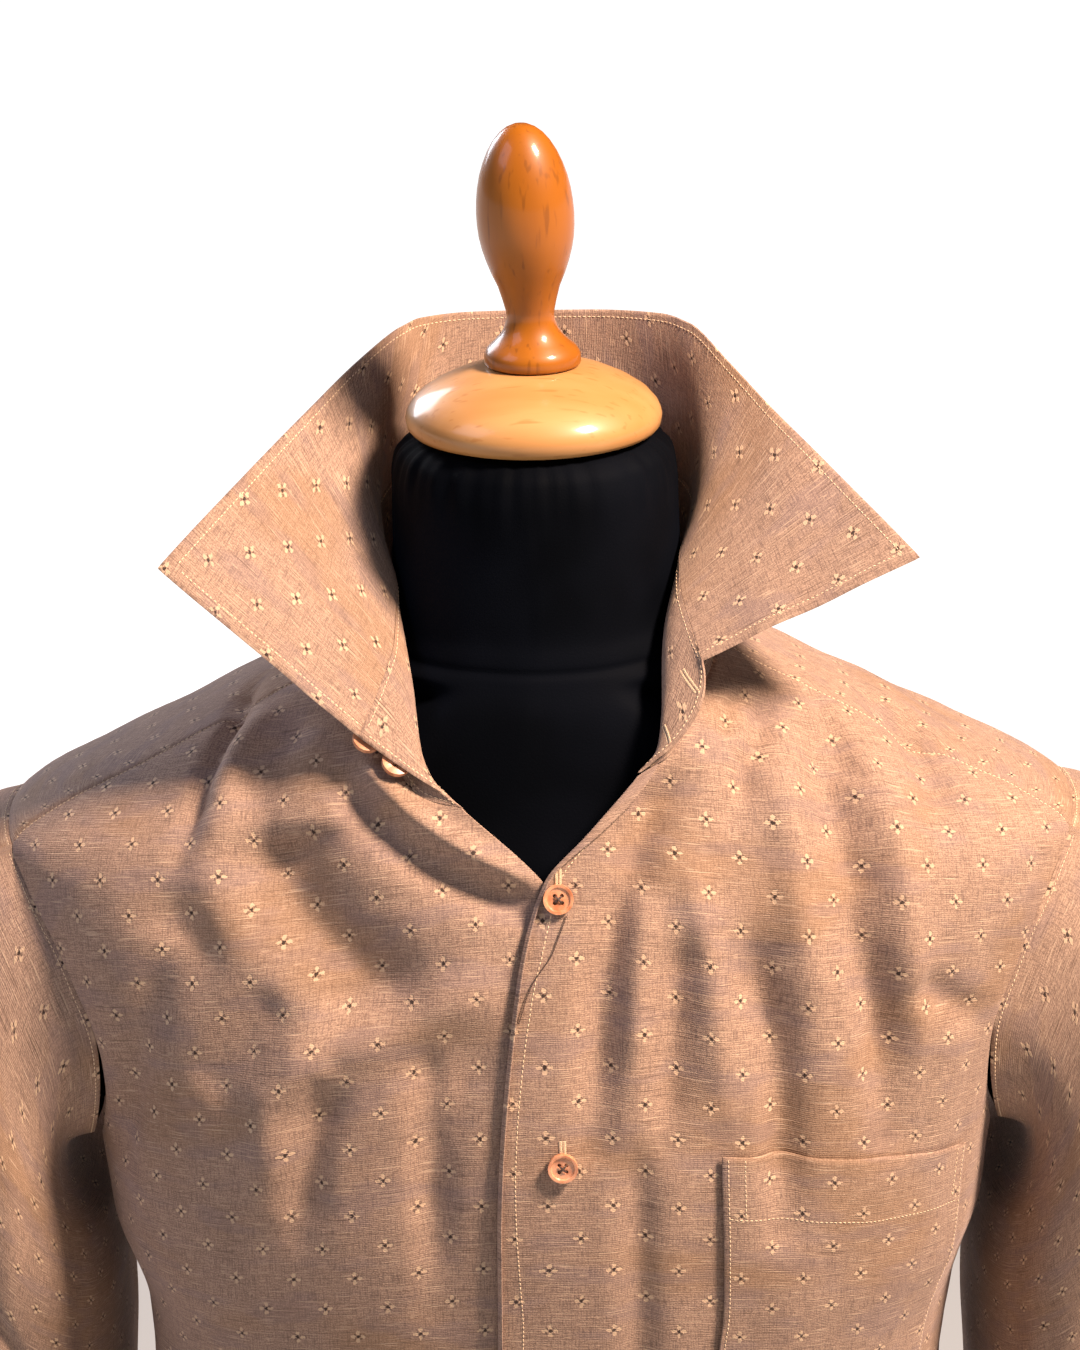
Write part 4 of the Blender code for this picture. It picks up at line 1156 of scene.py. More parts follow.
@dataclass
class Collar:
    """The tall band on the neckline and the leaf above it, popped up and spread wide."""

    body: ShirtBody
    finish: Material
    left: tuple = (
        (0.00, 17, 4, 62.6, -67, 863, 143.4, -60, 900),
        (0.10, -8, 3, 59.0, -52, 871, 129, -40, 911.5),
        (0.22, -15, -2, 56.0, -36, 881, 112, -16, 925),
        (0.34, -10, -2, 57.0, -22, 889, 95, 8, 938),
        (0.46, -3, 0, 61.5, -4, 898, 79, 31, 952),
        (0.57, 0, 0, 64.0, 14, 903, 64.5, 53, 963.5),
        (0.70, 0, 0, 57.5, 38, 907.5, 53, 63.5, 965.5),
        (0.85, 0, 0, 35, 60, 911, 33, 72, 965.5),
        (1.00, 0, 0, 0, 69, 912, 0, 76.5, 965))
    right: tuple = (
        (0.00, 0, 2, 68.0, -80, 840, 141.7, -60, 900.6),
        (0.10, -9, 2, 61.5, -65, 851, 127.5, -40, 912),
        (0.22, -13, 0, 55.5, -45, 866, 109, -14, 926),
        (0.34, -9, -2, 55.5, -26, 879, 90, 12, 940),
        (0.46, -3, 0, 61, -6, 893, 71, 36, 954),
        (0.57, 0, 0, 64, 13, 901, 54.5, 55, 963.5),
        (0.70, 0, 0, 57.5, 38, 907, 45.5, 64, 965.5),
        (0.85, 0, 0, 35, 60, 911, 30, 72, 965.5),
        (1.00, 0, 0, 0, 69, 912, 0, 76.5, 965))
    neck_stations: tuple = ((0, 0), (4 / 17, 0.5), (8 / 17, 1.0), (1.0, 2.0))
    half: int = 92
    band_rows: int = 26
    leaf_rows: int = 54
    foot_lift: float = 1.5 * MM
    foot_rise: float = 0.4 * MM
    parting: float = 0.35 * MM
    lift: float = 0.4 * MM
    passes: int = 60
    band: Shell | None = None
    leaf: Shell | None = None

    def curves(self, side: Side) -> list[Array]:
        """Foot, bend, seam and outer edge on one side, front end to middle back."""
        table = self.left if side is Side.LEFT else self.right
        at = np.linspace(0, 1, self.half)
        seam, edge = [np.stack([smooth(table, first + k, at) for k in range(3)], axis=-1)
                      * (side.value, 1, 1) * MM for first in (3, 6)]
        front = self.body.neckline(side, 41)
        spread = np.linspace(self.body.yoke_turn, 180, 41)
        rear = np.stack([spread * side.value, smooth(self.body.neck_back, 1, spread) * MM],
                        axis=-1)
        path = np.concatenate([front, rear[1:]])
        run = np.linspace(0, 2, len(path))
        place = smooth(self.neck_stations, 1, at)
        turn, level = np.interp(place, run, path[:, 0]), np.interp(place, run, path[:, 1])
        cloth = self.body.cloth
        foot = cloth.ring_point(turn, level) + cloth.normal(turn, level) * self.foot_lift
        foot = foot + np.array([0, 0, self.foot_rise])
        push = np.stack([side.value * smooth(table, 1, at), -smooth(table, 2, at), 0 * at],
                        axis=-1) * MM
        return [foot, (foot + seam) / 2 + push, seam, edge]

    def toward_neck(self, grid: Array) -> Array:
        """Directions square to a collar grid, on the side of the neck."""
        normal = grid_normal(grid)
        for _ in range(self.passes):
            wide = np.concatenate([normal[:, :1], normal, normal[:, -1:]], axis=1)
            normal = unit(wide[:, :-2] + 2 * normal + wide[:, 2:])
        centre = np.array([0.0, 0.0, grid[..., 2].mean()])
        half = grid.shape[1] // 2
        return normal * np.sign(np.sum(normal[:, half] * (centre - grid[:, half]), axis=-1).mean())

    def cut_of(self, grid: Array, start: Array) -> Array:
        """Places on the flat cloth: the weft runs up the collar and the warp round the neck."""
        up = running(length(np.diff(grid, axis=0)))
        along = running(length(np.diff(grid.mean(axis=0), axis=0)))
        along = along - along[len(along) // 2]
        return np.stack([up + start[None, :], np.broadcast_to(along, up.shape)], axis=-1)

    def build(self) -> None:
        """Make the band and the leaf."""
        ends = [self.curves(Side.LEFT), self.curves(Side.RIGHT)]
        foot, bend, seam, edge = [np.concatenate([a, b[-2::-1]]) for a, b in zip(*ends)]
        share = np.linspace(0, 1, self.band_rows)[:, None, None]
        band = foot * (1 - share) ** 2 + bend * 2 * share * (1 - share) + seam * share ** 2
        band_in = self.toward_neck(band)
        run = unit(np.gradient(seam, axis=0))
        rise = edge - seam
        rise = unit(rise - run * np.sum(rise * run, axis=-1, keepdims=True))
        start = seam + rise * self.parting
        share = np.linspace(0, 1, self.leaf_rows)[:, None, None]
        leaf = start + (edge - start) * share
        leaf_in = self.toward_neck(leaf)
        wave = ripple(leaf[..., 0] / 0.05, leaf[..., 2] / 0.07, 21) * 0.6 * MM
        leaf = leaf + leaf_in * (wave * fade(share[..., 0], 0, 0.3))[..., None]
        shared = unit(band_in[-1] + leaf_in[0])
        band_in[-1], leaf_in[0] = shared, shared
        zero = np.zeros(band.shape[1])
        height = length(np.diff(band, axis=0)).sum(axis=0)
        parts = ((band, band_in, zero), (leaf, leaf_in, height.mean() + zero))
        self.band, self.leaf = [
            Shell.raised(grid + inward * self.lift, inward, COLLAR_THICK, self.cut_of(grid, start))
            for grid, inward, start in parts]
        for name, shell, cut in (("collar_stand", self.band, (0.43, 0.047, 0.0155)),
                                 ("collar_leaf", self.leaf, (0.52, 0.105, 0.0290))):
            lay_sheet(name, shell, self.finish)


@dataclass
class Sleeves:
    """Both sleeves and cuffs, hanging empty beside the body.

    Attributes:
        sections: Share of the run, inner and outer X and Z, and depth to front and back, in mm.
        folds: Angle, width and height in mm of the long folds.
        creases: Start angle and run, end angle and run, width and rise in mm.
    """

    body: ShirtBody
    finish: Material
    sections: tuple = (
        (0.00, 189, 633, 216, 783, 66, 70), (0.04, 190.5, 626, 229, 777, 70, 74),
        (0.09, 191, 614, 241, 758, 75, 78), (0.16, 188, 596, 250, 723, 79, 81),
        (0.25, 185, 568, 256, 672, 80, 82), (0.36, 186, 530, 258, 606, 77, 79),
        (0.50, 190, 466, 257, 516, 72, 74), (0.66, 197, 386, 254, 411, 66, 67),
        (0.84, 206, 296, 250, 303, 59, 60), (1.00, 212, 228, 247, 228, 50, 51))
    folds: tuple = ((40, 3.0, 2.5), (118, 2.4, 3.0), (205, 2.0, 2.0), (262, 2.6, 3.0),
                    (330, 3.2, 2.5))
    creases: tuple = (
        (20, 0.06, 70, 0.24, 9, 3.0), (-30, 0.07, -80, 0.26, 9, 3.0),
        (60, 0.3, 110, 0.44, 8, -3.0), (130, 0.33, 60, 0.52, 8, 3.0),
        (-60, 0.36, -140, 0.5, 8, 2.6), (10, 0.42, -50, 0.55, 8, -2.6),
        (150, 0.5, 95, 0.66, 8, 2.4), (-100, 0.52, -40, 0.7, 8, -2.8),
        (35, 0.6, 70, 0.78, 7, 2.2), (-20, 0.7, -75, 0.86, 7, 2.2),
        (120, 0.72, 80, 0.9, 7, -2.0), (0, 0.12, 12, 0.34, 9, -2.6))
    cuff_bottom: float = 163 * MM
    arm_parting: float = 0.5 * MM
    underarm_step: float = 4.2 * MM
    cuff_lift: float = 0.2 * MM
    hold_run: float = 0.16
    right_turn: float = 14.0
    rows: int = 118
    shells: dict = field(default_factory=dict)

    def runs(self) -> Array:
        """Each ring's share of the way down the sleeve, closer together at the armhole."""
        return np.linspace(0, 1, self.rows) ** 1.25

    def armhole(self) -> tuple[Array, Array, Array]:
        """The armhole as a ring: points, outward directions, and the angle round the sleeve."""
        body = self.body
        parts = ((body.arm_top, 1, body.top_rows, 48, -58),
                 (body.arm_back, -1, body.arm_rows, -58, -180),
                 (body.arm_front, 1, body.arm_rows, -180, -312))
        path = np.concatenate([body.along(rows, count + 1)[::way][:-1]
                               for rows, way, count, _, _ in parts])
        angle = np.concatenate([np.linspace(start, end, count + 1)[:-1]
                                for _, _, count, start, end in parts])
        out = body.cloth.normal(path[:, 0], path[:, 1])
        hole = body.cloth.ring_point(path[:, 0], path[:, 1]) + out * CLOTH_LIFT
        return hole, out, np.radians(angle)

    def shift(self, run: float) -> Array:
        """How far the sleeve has left the armhole at the start of its run."""
        first, here = [np.array([smooth(self.sections, 3, at), 0, smooth(self.sections, 4, at)])
                       for at in (0.0, run)]
        return (here - first) * MM * np.array([1.0, 1.0, 0.5])

    def rings(self) -> tuple[Array, Array, Array]:
        """Rings of points down the wearer's left sleeve, with the armhole's directions."""
        hole, out, angle = self.armhole()
        low = fade(-np.cos(angle), 0.1, 1)
        wide = np.concatenate([hole[-1:], hole, hole[:1]])
        away = np.cross(unit(wide[2:] - wide[:-2]), out)
        hole = hole + unit(away * np.sign(away[:, :1])) * self.arm_parting
        hole[:, 0] = hole[:, 0] + self.underarm_step * low
        rings, holds = [], []
        for run in self.runs():
            inner_x, inner_z, outer_x, outer_z, front, back = [
                float(smooth(self.sections, k, run)) * MM for k in range(1, 7)]
            middle = np.array([inner_x + outer_x, inner_z + outer_z]) / 2
            reach = np.array([outer_x - inner_x, outer_z - inner_z]) / 2
            swell = np.ones(len(angle))
            for place, width, height in self.folds:
                off = turn_apart(angle, math.radians(place))
                swell = swell + height / 30 * np.exp(-(off / (width * 5)) ** 2) * fade(
                    run, 0.1, 0.4)
            bulge, across = signed_power(np.cos(angle), 0.9), signed_power(np.sin(angle), 0.9)
            depth = np.where(np.sin(angle) > 0, front, back)
            ring = np.stack([middle[0] + reach[0] * bulge * swell, -depth * across,
                             middle[1] + reach[1] * bulge], axis=-1)
            hold = 1 - fade(run, 0, self.hold_run)
            rings.append(ring * (1 - hold) + (hole + self.shift(run)) * hold)
            holds.append(hold * (1 - low))
        return np.array(rings), out, np.array(holds) ** 4

    def relief(self, angle: Array, run: Array, turned: float) -> Array:
        """Slanting creases round the sleeve, at the bend of the elbow most of all."""
        total = np.zeros(np.broadcast(angle, run).shape)
        for start, low, end, high, width, rise in self.creases:
            share = np.clip((run - low) / (high - low), 0, 1)
            line = np.radians(start + turned + (end - start) * share)
            off = turn_apart(angle, line) * 1.1
            beyond = (np.maximum(low - run, 0) + np.maximum(run - high, 0)) * 560
            away = np.hypot(off, beyond) / width
            ends = fade(share, 0, 0.3) * (1 - fade(share, 0.7, 1))
            total = total + rise * MM * ends * np.exp(-away ** 2)
        fine = ripple(np.cos(angle) * 2.2 + np.sin(angle), run * 7, 33) * 0.5 * MM
        return (total + fine) * fade(run, 0.02, 0.12) * (1 - 0.5 * fade(run, 0.9, 1))

    def build(self) -> None:
        """Make both sleeves and both cuffs."""
        near, hole_out, hold = self.rings()
        out = grid_normal(near, ring=True)
        out = out * np.sign(out[60, 0, 0])
        out = unit(out * (1 - hold[..., None]) + hole_out[None] * hold[..., None])
        angle = self.armhole()[2][None, :]
        run = self.runs()[:, None]
        girth = length(np.diff(near, axis=1, append=near[:, :1]))
        around = np.cumsum(girth, axis=1) - girth.sum(axis=1, keepdims=True) / 2
        down = -running(length(np.diff(near, axis=0)).mean(axis=1))
        cut = np.stack([around, np.broadcast_to(down[:, None], around.shape)], axis=-1)
        flip = np.array([-1.0, 1.0, 1.0])
        for name, side, turned in (("left", Side.LEFT, 0.0),
                                   ("right", Side.RIGHT, self.right_turn)):
            inner = near + out * (self.relief(angle, run, turned))[..., None]
            outer = inner + out * CLOTH_THICK
            top = near[-1].copy()
            top[:, 2] = top[:, 2] - SEAM_GAP - 0.6 * MM
            levels = np.linspace(0, 1, 22)[:, None, None]
            bottom = top * np.array([1, 1, 0]) + np.array([0, 0, self.cuff_bottom])
            cuff = top * (1 - levels) + bottom * levels
            cuff_out = grid_normal(cuff, ring=True)
            cuff_out = cuff_out * np.sign(cuff_out[5, 0, 0])
            cuff_cut = cut[-1][None] * np.array([1.0, 0.0]) + np.concatenate(
                [0 * levels, -levels * 0.065], axis=-1)
            if side is Side.RIGHT:
                inner, outer, cuff, cuff_out = [
                    table * flip for table in (inner, outer, cuff, cuff_out)]
            self.shells["sleeve_" + name] = Shell(inner, outer, cut, ring=True)
            self.shells["cuff_" + name] = Shell.raised(cuff + cuff_out * self.cuff_lift, cuff_out,
                                                       COLLAR_THICK, cuff_cut, ring=True)
        for name, shell in self.shells.items():
            lay_sheet(name, shell, self.finish)


@dataclass
class Buttons:
    """Four-hole buttons sewn on with brown thread, one modelled and copied to each node.

    Attributes:
        dish: How far in and down each step of the face goes, in mm.
    """

    finish: Material
    thread: Stitching
    radius: float = 5.7 * MM
    height: float = 2.3 * MM
    hole_radius: float = 0.75 * MM
    hole_reach: float = 1.35 * MM
    dish: tuple = ((1.15, 0.15), (0.35, 0.6), (1.2, 0.1))

    def model(self) -> Object:
        """One button, face up at the origin: a rimmed dish with four holes."""
        bpy.ops.object.select_all(action="DESELECT")
        bpy.ops.mesh.primitive_cylinder_add(vertices=48, radius=self.radius, depth=self.height,
                                            location=(0, 0, self.height / 2))
        thing = bpy.context.object
        thing.name = "button_pattern"
        bpy.ops.object.mode_set(mode="EDIT")
        bpy.ops.mesh.select_mode(type="FACE")
        bpy.ops.mesh.select_all(action="DESELECT")
        shape = bmesh.from_edit_mesh(thing.data)
        for face in shape.faces:
            face.select = face.normal.z > 0.9
        bmesh.update_edit_mesh(thing.data)
        for inward, drop in self.dish:
            bpy.ops.mesh.inset(thickness=inward * MM)
            bpy.ops.transform.translate(value=(0, 0, -drop * MM))
        bpy.ops.object.mode_set(mode="OBJECT")
        for x in (-1, 1):
            for y in (-1, 1):
                self.drill(thing, x * self.hole_reach, y * self.hole_reach)
        round_edges(thing, 0.35 * MM, 3, 35, 40)
        return thing

    def drill(self, thing: Object, x: float, y: float) -> None:
        """Cut one thread hole through the button."""
        bpy.ops.object.select_all(action="DESELECT")
        bpy.ops.mesh.primitive_cylinder_add(vertices=16, radius=self.hole_radius,
                                            depth=self.height * 4, location=(x, y, 0))
        tool = bpy.context.object
        cutter = thing.modifiers.new("thread_hole", "BOOLEAN")
        cutter.object = tool
        cutter.operation = "DIFFERENCE"
        bpy.context.view_layer.objects.active = thing
        bpy.ops.object.modifier_apply(modifier=cutter.name)
        bpy.data.objects.remove(tool)

    def seat(self, node: str) -> Matrix:
        """Where a packed button sits: its base, its face's direction and a level side."""
        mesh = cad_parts[node].data
        spots = np.empty(len(mesh.vertices) * 3)
        mesh.vertices.foreach_get("co", spots)
        spots = np.unique(spots.reshape(-1, 3).round(6), axis=0)
        centre = spots.mean(axis=0)
        out = np.linalg.eigh(np.cov((spots - centre).T))[1][:, 0]
        along = (spots - centre) @ out
        away = length((spots - centre) - along[:, None] * out)
        near = 0.05 * self.height
        if away[along < along.min() + near].max() > away[along > along.max() - near].max():
            out, along = -out, -along
        base = centre + out * along.min()
        side = unit(np.cross(np.array([0.0, 0.0, 1.0]), out))
        up = np.cross(out, side)
        return Matrix([*zip(side, up, out, base), (0, 0, 0, 1)])

    def sew(self, place: Matrix) -> None:
        """Cross two bars of thread through the four holes."""
        reach, level = self.hole_reach, self.height - 0.55 * MM
        out = np.array(place.to_3x3() @ Vector((0, 0, 1)))[None]
        for way, height in ((1, level), (-1, level + 0.25 * MM)):
            for offset in (-0.22 * MM, 0.22 * MM):
                start, end = [np.array(place @ Vector((x + offset, way * x, height)))[None]
                              for x in (-reach, reach)]
                self.thread.stitch(start, end, out, 0.26 * MM)

    def build(self) -> None:
        """Copy the button to every button node and sew each on."""
        pattern = self.model()
        pattern.data.materials.clear()
        pattern.data.materials.append(self.finish)
        for node in [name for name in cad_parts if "button" in name]:
            place = self.seat(node)
            mesh = pattern.data.copy()
            mesh.transform(place)
            piece = bpy.data.objects.new(node + "_sewn", mesh)
            bpy.context.scene.collection.objects.link(piece)
            declare(piece, "salmon_button", node)
            self.sew(place)
        bpy.data.objects.remove(pattern)


@dataclass
class Sewing:
    """Topstitching, buttonholes and the loose thread tail."""

    body: ShirtBody
    collar: Collar
    sleeves: Sleeves
    cream: Stitching
    brown: Stitching
    edge_margin: float = 3.5 * MM

    def across(self, shell: Shell, row: float, columns: Array, face: Face = Face.OUTER,
               **options: float) -> None:
        """Sew along one row of a shell."""
        self.cream.line(shell, face, np.full(len(columns), row), columns, **options)

    def down(self, shell: Shell, rows: Array, column: float, face: Face = Face.OUTER) -> None:
        """Sew along one column of a shell."""
        self.cream.line(shell, face, rows, np.full(len(rows), column))

    def panel_lines(self) -> None:
        """Topstitching on the fronts, yoke, back, hems and cuffs."""
        shells, top = self.body.shells, self.body.top_rows
        left, yoke = shells["front_left"], shells["yoke"]
        self.down(left, np.arange(2, len(left.inner) - 3, 0.5), 12.6)
        for name in ("front_left", "front_right", "back"):
            shell = shells[name]
            last, width = len(shell.inner) - 1, shell.inner.shape[1]
            columns = np.arange(12 if name == "front_left" else 1, width - 1, 0.5)
            self.across(shell, 1.2, columns)
            if name == "back":
                self.across(shell, last - 1.0, columns)
            else:
                ridge = np.arange(last - self.body.ridge_rows + 2, last - 1, 0.5)
                self.down(shell, ridge, width - 1.7)
        columns = np.arange(top + 1, yoke.inner.shape[1] - top - 1, 0.5)
        self.across(yoke, len(yoke.inner) - 2.0, columns)
        for shell in self.sleeves.shells.values():
            for row in (1.4, len(shell.inner) - 2.4):
                self.across(shell, row, np.arange(0, shell.inner.shape[1], 0.5))

    def pocket_lines(self) -> None:
        """Edge stitching on three sides, the hem's line and a boxed corner on each side."""
        shell = self.body.shells["pocket"]
        rows, columns = shell.inner.shape[0] - 1, shell.inner.shape[1] - 1
        tall = length(shell.inner[-1, 28] - shell.inner[0, 28])
        wide = length(shell.inner[0, -1] - shell.inner[0, 0])
        hem = self.body.pocket_hem / tall * rows
        near, far = 1.6 * MM / wide * columns, 7 * MM / wide * columns
        for column in (near, columns - near):
            self.down(shell, np.arange(0.4, rows - 1, 0.4), column)
        for row in (hem, rows - 0.8):
            self.across(shell, row, np.arange(near, columns - near, 0.4))
        for column in (far, columns - far):
            self.down(shell, np.arange(0.4, hem, 0.4), column)

    def collar_lines(self) -> None:
        """Stitching round the leaf's edges and the band's seam and ends, on both faces."""
        leaf, band = self.collar.leaf, self.collar.band
        last_row, last = leaf.inner.shape[0] - 1, leaf.inner.shape[1] - 1
        margin = self.edge_margin / (60 * MM) * last_row
        for face in (Face.INNER, Face.OUTER):
            self.across(leaf, last_row - margin * 0.75, np.arange(1.6, last - 1.6, 0.5), face)
            for column in (1.6, last - 1.6):
                self.down(leaf, np.arange(1, last_row - margin, 0.5), column, face)
            for row in (len(band.inner) - 2.0, 1.2):
                self.across(band, row, np.arange(1, last - 1, 0.5), face, radius=0.16 * MM)
            for column in (1.0, last - 1.0):
                self.down(band, np.arange(1, len(band.inner) - 2, 0.5), column, face)

    def buttonholes(self) -> None:
        """Upright buttonholes under the front buttons."""
        cloth = self.body.cloth
        for index in range(1, 8):
            low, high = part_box(f"button_{index}")
            level = (low[2] + high[2]) / 2
            distance = (low[0] + high[0]) / 2
            height = level + np.linspace(-7.5, 9.0, 40) * MM
            for aside in (-0.7 * MM, 0.7 * MM):
                turn = cloth.turn_at(np.full(40, distance + aside), height)
                lift = self.body.lap_lift + CLOTH_LIFT + CLOTH_THICK
                spot = cloth.point(turn, height, lift)
                out = cloth.normal(turn, height)
                side = unit(np.cross(np.array([0, 0, 1.0]), out))
                bar = side * 0.75 * MM
                self.cream.stitch(spot - bar, spot + bar, out, 0.22 * MM)

    def band_holes(self) -> None:
        """Two slanting buttonholes in the band's free end on the wearer's left."""
        band = self.collar.band
        rows = band.inner.shape[0] - 1
        for share in (0.28, 0.72):
            column = np.linspace(1.6, 6.2, 24)
            row = rows * (share + (column - 4.6) * 0.012)
            spot, out = band.at(Face.OUTER, row, column)
            along = unit(np.gradient(spot, axis=0))
            side = unit(np.cross(along, out))
            for aside in (-0.7 * MM, 0.7 * MM):
                place = spot + side * aside
                bar = side * 0.6 * MM
                self.cream.stitch(place - bar, place + bar, out, 0.17 * MM)

    def tail(self) -> None:
        """The loose end of brown thread that hangs from the first button."""
        cloth = self.body.cloth
        knots = ((9.0, 776), (6.0, 769), (3.0, 762), (-1.0, 757), (-4.5, 752), (-7.0, 746),
                 (-9.5, 738))
        share = np.linspace(0, 1, 60)
        place = np.linspace(0, 1, len(knots))
        x, z = [np.interp(share, place, column) * MM for column in zip(*knots)]
        for line in (x, z):
            for _ in range(6):
                line[1:-1] = (line[:-2] + 2 * line[1:-1] + line[2:]) / 4
        turn = cloth.turn_at(x, z)
        lift = self.body.lap_lift + CLOTH_LIFT + CLOTH_THICK + 0.5 * MM
        spot, out = cloth.point(turn, z, lift), cloth.normal(turn, z)
        self.brown.stitch(spot[:-1], spot[1:] + (spot[1:] - spot[:-1]) * 0.3, out[:-1], 0.2 * MM)

    def build(self) -> None:
        """Sew everything and make the two meshes of thread."""
        self.panel_lines()
        self.pocket_lines()
        self.collar_lines()
        self.buttonholes()
        self.band_holes()
        self.tail()
        for stitching in (self.cream, self.brown):
            declare(stitching.build(), "slub_cotton")


@dataclass
class DressForm:
    """The limbless jersey form, its turned cap and finial, and the stand."""

    finishes: Finishes
    rings: tuple = (
        (222, 164, 100, 108), (232, 168, 104, 112), (290, 168, 106, 113), (370, 157, 101, 103),
        (450, 146, 97, 91), (520, 152, 104, 98), (600, 167, 117, 108), (645, 173, 121, 112),
        (700, 187, 115, 111), (735, 204, 107, 107), (763, 213, 96, 101), (777, 207, 86, 90),
        (793, 190, 79, 86), (810.6, 161, 73, 82), (825.7, 131, 69, 79), (840.4, 100, 65.5, 75.5),
        (849, 77.5, 63, 74), (856, 66.5, 61, 71), (861, 62.5, 59.5, 68.5), (867, 59.5, 58.5, 64.5),
        (878, 57.5, 57.5, 60), (895, 56.5, 56.5, 57), (918, 56, 56, 56), (928, 54, 54, 54),
        (934, 48, 48, 48), (936, 40, 40, 40))
    cap_base: float = 936 * MM
    seam_height: float = 856 * MM
    cap: tuple = ((45, 0.3), (48.2, 1.4), (49.5, 3), (50, 6), (49.6, 8), (48.5, 10.4), (45, 14.4),
                  (39, 18.4), (31, 22.2), (24, 24.6), (20, 25.6), (17, 26))
    finial: tuple = ((18.3, 26.3), (18.7, 27.2), (18.7, 30), (18.2, 31.4), (17, 33.2), (14.5, 35.3),
                     (12, 38), (10.4, 40.6), (9.6, 43), (9.2, 45.2), (9.4, 47.4), (10.4, 51.5),
                     (12, 57), (14.2, 62), (16, 67), (17.3, 71.5), (18.2, 76), (18.6, 80.5),
                     (18.7, 85), (18.4, 90), (17.8, 94.5), (16.7, 99.5), (15.2, 104),
                     (13.2, 108.5), (10.8, 112.4), (8.2, 115.4), (5.5, 117.4), (2.6, 118.6))
    post: tuple = ((18, 25.3), (18, 60), (18, 120), (18, 180), (18, 221.7))
    base: tuple = ((145, 0), (148, 0.6), (150, 3), (150.2, 7), (150, 11), (148, 15), (144, 18),
                   (130, 20.2), (110, 22), (70, 23.8), (30, 25))
    lean: float = -0.033
    sink: float = 12 * MM

    def torso(self) -> None:
        """The padded torso and neck in jersey, with its seam and the gathers under the cap."""
        surface = DrapedSurface(rings=self.rings)
        turns = np.linspace(0, 360, 180, endpoint=False)
        levels = np.concatenate([np.linspace(222, 840, 110), np.linspace(842, 930, 80),
                                 np.linspace(930.5, 936, 12)]) * MM
        grid = surface.ring_point(turns[None, :], levels[:, None] + 0 * turns[None, :])
        middle = grid * np.array([0, 0, 1])
        out = unit(grid - middle)
        angle = np.radians(turns)[None, :]
        height = levels[:, None]
        seam = -0.9 * MM * np.exp(-((height - self.seam_height) / (1.6 * MM)) ** 2)
        above = 0.5 * MM * np.exp(-((height - self.seam_height - 5 * MM) / (4 * MM)) ** 2)
        gather = (np.sin(angle * 41 + 2 * np.sin(angle * 5)) * 0.45
                  + np.sin(angle * 23 + 1.5) * 0.45) * MM
        gather = gather * fade(height, 905 * MM, 932 * MM)
        drape = ripple(angle * 1.4, height / 0.09, 5) * 0.5 * MM * fade(height, 0.6, 0.85)
        turn = 180 - np.abs(180 - turns)[None, :]
        hidden = np.maximum(fade(turn, 20, 38), 1 - fade(height, 0.765, 0.782))
        sink = self.sink * hidden * fade(height, 0.62, 0.70)
        sink = sink * (1 - fade(height, 0.842, 0.852))
        grid = grid + out * (seam + above + gather + drape - sink)[..., None]
        count, around = grid.shape[:2]
        faces = [list(range(around)), [(count - 1) * around + j for j in range(around)]]
        i, j = np.meshgrid(np.arange(count - 1), np.arange(around), indexing="ij")
        a, b = (i * around + j).ravel(), (i * around + (j + 1) % around).ravel()
        faces.extend(np.stack([a, b, b + around, a + around], axis=1).tolist())
        piece = make_mesh("form_torso_jersey", grid.reshape(-1, 3), faces, self.finishes.jersey)
        declare(piece, "black_jersey", "form_torso")

    def turned(self, name: str, outline: tuple, floor: float, material: Material,
               lean: float = 0.0) -> Object:
        """Turn a piece from a circle, extruded and resized up its outline.

        Args:
            name: The new object's name.
            outline: Radius and height in mm, from the bottom up.
            floor: Height of the outline's zero.
            material: The piece's finish.
            lean: How far the axis moves sideways for each step up.

        Returns:
            The object.
        """
        bpy.ops.object.select_all(action="DESELECT")
        radius, height = outline[0]
        start = floor + height * MM
        bpy.ops.mesh.primitive_circle_add(vertices=96, radius=radius * MM, fill_type="NGON",
                                          location=(0, 0, start))
        thing = bpy.context.object
        thing.name = name
        bpy.ops.object.mode_set(mode="EDIT")
        bpy.ops.mesh.select_mode(type="FACE")
        bpy.ops.mesh.select_all(action="SELECT")
        for after_radius, after_height in outline[1:]:
            rise = (after_height - height) * MM
            bpy.ops.mesh.extrude_region_move(
                TRANSFORM_OT_translate={"value": (lean * rise, 0, rise)})
            centre = (lean * (after_height - outline[0][1]) * MM, 0, floor + after_height * MM)
            scale = after_radius / radius
            bpy.ops.transform.resize(value=(scale, scale, 1.0), center_override=centre)
            radius, height = after_radius, after_height
        bpy.ops.mesh.inset(thickness=radius * MM * 0.45)
        bpy.ops.mesh.select_all(action="SELECT")
        bpy.ops.mesh.normals_make_consistent(inside=False)
        bpy.ops.object.mode_set(mode="OBJECT")
        round_edges(thing, 0.5 * MM, 2, 40, 35)
        thing.data.materials.clear()
        thing.data.materials.append(material)
        return thing

    def build(self) -> None:
        """Make the form and its stand."""
        self.torso()
        for name, outline, floor, material, slot, lean in (
                ("neck_cap", self.cap, self.cap_base, self.finishes.cap, "honey_beech", 0.0),
                ("finial", self.finial, self.cap_base, self.finishes.amber, "amber_beech",
                 self.lean),
                ("stand_post", self.post, 0.0, self.finishes.cap, "honey_beech", 0.0),
                ("stand_base", self.base, 0.0, self.finishes.cap, "honey_beech", 0.0)):
            piece = self.turned(name + "_turned", outline, floor, material, lean)
            declare(piece, slot, name)


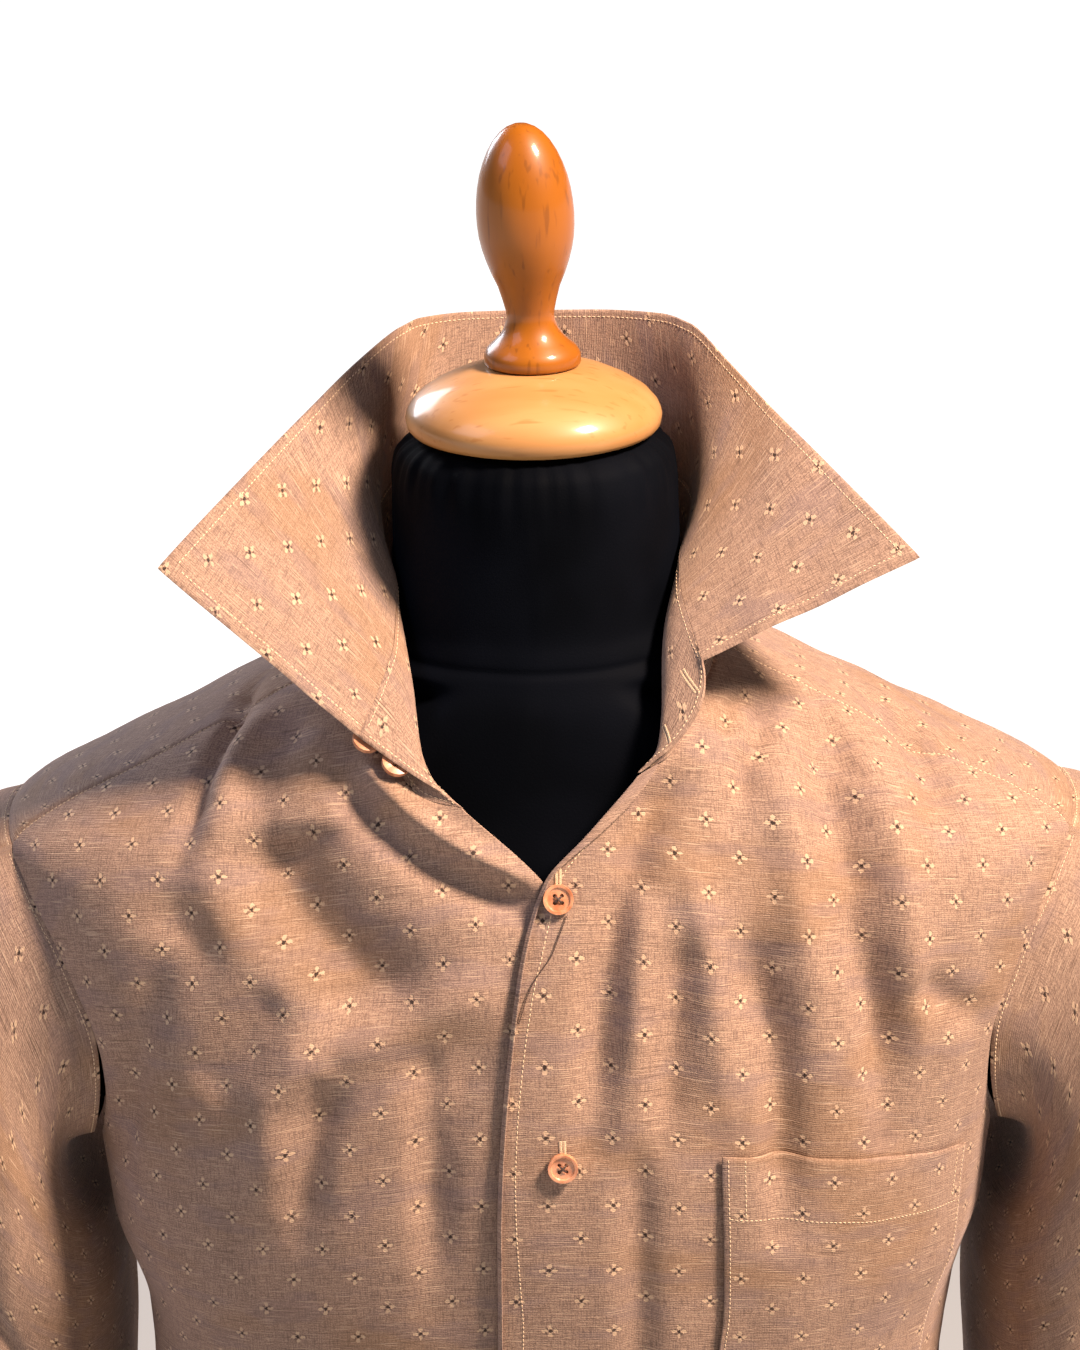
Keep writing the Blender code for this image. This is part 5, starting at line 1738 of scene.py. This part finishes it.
@dataclass
class Studio:
    """The plain pale floor, which glows as painted light (faintly near the stand, fully white far
    off), soft lights and the camera of the photograph.
    """

    camera_place: tuple = (0.000665, -1.063954, 1.231323)
    pitch: float = 20.5
    roll: float = -1.0
    lens: float = 75.2
    sensor: float = 36.0
    lights: tuple = (
        ("key", (1.32, -0.66, 2.64), 0.45, 180.0, "#FFE6D0"),
        ("window", (-1.3, -0.5, 2.2), 0.9, 11.0, "#D0DAFF"),
        ("back", (-1.3, 1.9, 1.7), 0.9, 34.0, "#F2F5FF"))
    aim: tuple = (0.0, 0.0, 0.83)

    def lamp(self, name: str, place: tuple, size: float, power: float, colour: str) -> None:
        """A soft square lamp that faces the garment."""
        data = bpy.data.lights.new(name, "AREA")
        data.size = size
        data.energy = power
        data.color = linear(colour)[:3]
        thing = bpy.data.objects.new(name, data)
        bpy.context.scene.collection.objects.link(thing)
        thing.location = place
        thing.rotation_euler = (Vector(self.aim) - thing.location).to_track_quat(
            "-Z", "Y").to_euler()

    def build(self) -> None:
        """Set the floor, the lights, the world and the camera."""
        bpy.ops.object.select_all(action="DESELECT")
        bpy.ops.mesh.primitive_plane_add(size=80.0, location=(0, 0, 0))
        floor = bpy.context.object
        floor.name = "studio_floor"
        made = Recipe("glowing_floor", {"Base Color": linear("#A4A4A4"), "Roughness": 0.9,
                                     "Specular IOR Level": 0.1,
                                     "Emission Color": linear("#FFFFFF")})
        # Painted light: the floor glows though it is no lamp. The glow is faint within 0.9 m of the
        # stand and white beyond 2.6 m, so a dim painted shade surrounds the stand.
        away = made.vector("LENGTH", made.place())
        made.feed(made.maths("ADD", 0.06, made.ramp(away, 0.9, 2.6)), "Emission Strength")
        floor.data.materials.append(made.material)
        for lamp in self.lights:
            self.lamp(*lamp)
        world = bpy.data.worlds.new("studio_air")
        world.use_nodes = True
        sky = world.node_tree.nodes["Background"]
        sky.inputs["Color"].default_value = linear("#F4F6FA")
        sky.inputs["Strength"].default_value = 0.06
        bpy.context.scene.world = world
        data = bpy.data.cameras.new("camera")
        data.sensor_fit = "VERTICAL"
        data.sensor_height = self.sensor
        data.lens = self.lens
        thing = bpy.data.objects.new("camera", data)
        bpy.context.scene.collection.objects.link(thing)
        turn = Matrix.Rotation(math.radians(90 - self.pitch), 4, "X")
        turn = turn @ Matrix.Rotation(math.radians(self.roll), 4, "Z")
        thing.matrix_world = Matrix.Translation(self.camera_place) @ turn
        bpy.context.scene.camera = thing
        bpy.context.scene.view_settings.view_transform = "Standard"


def main() -> None:
    """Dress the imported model."""
    logging.basicConfig(level=logging.INFO, format="%(message)s")
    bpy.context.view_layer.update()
    finishes = Finishes.make()
    Studio().build()
    body = ShirtBody(DrapedSurface(), finishes.cloth)
    body.build()
    collar = Collar(body, finishes.cloth)
    collar.build()
    sleeves = Sleeves(body, finishes.cloth)
    sleeves.build()
    cream = Stitching("topstitching", finishes.cream)
    brown = Stitching("button_thread", finishes.brown)
    Buttons(finishes.button, brown).build()
    Sewing(body, collar, sleeves, cream, brown).build()
    DressForm(finishes).build()


if __name__ == "__main__":
    main()
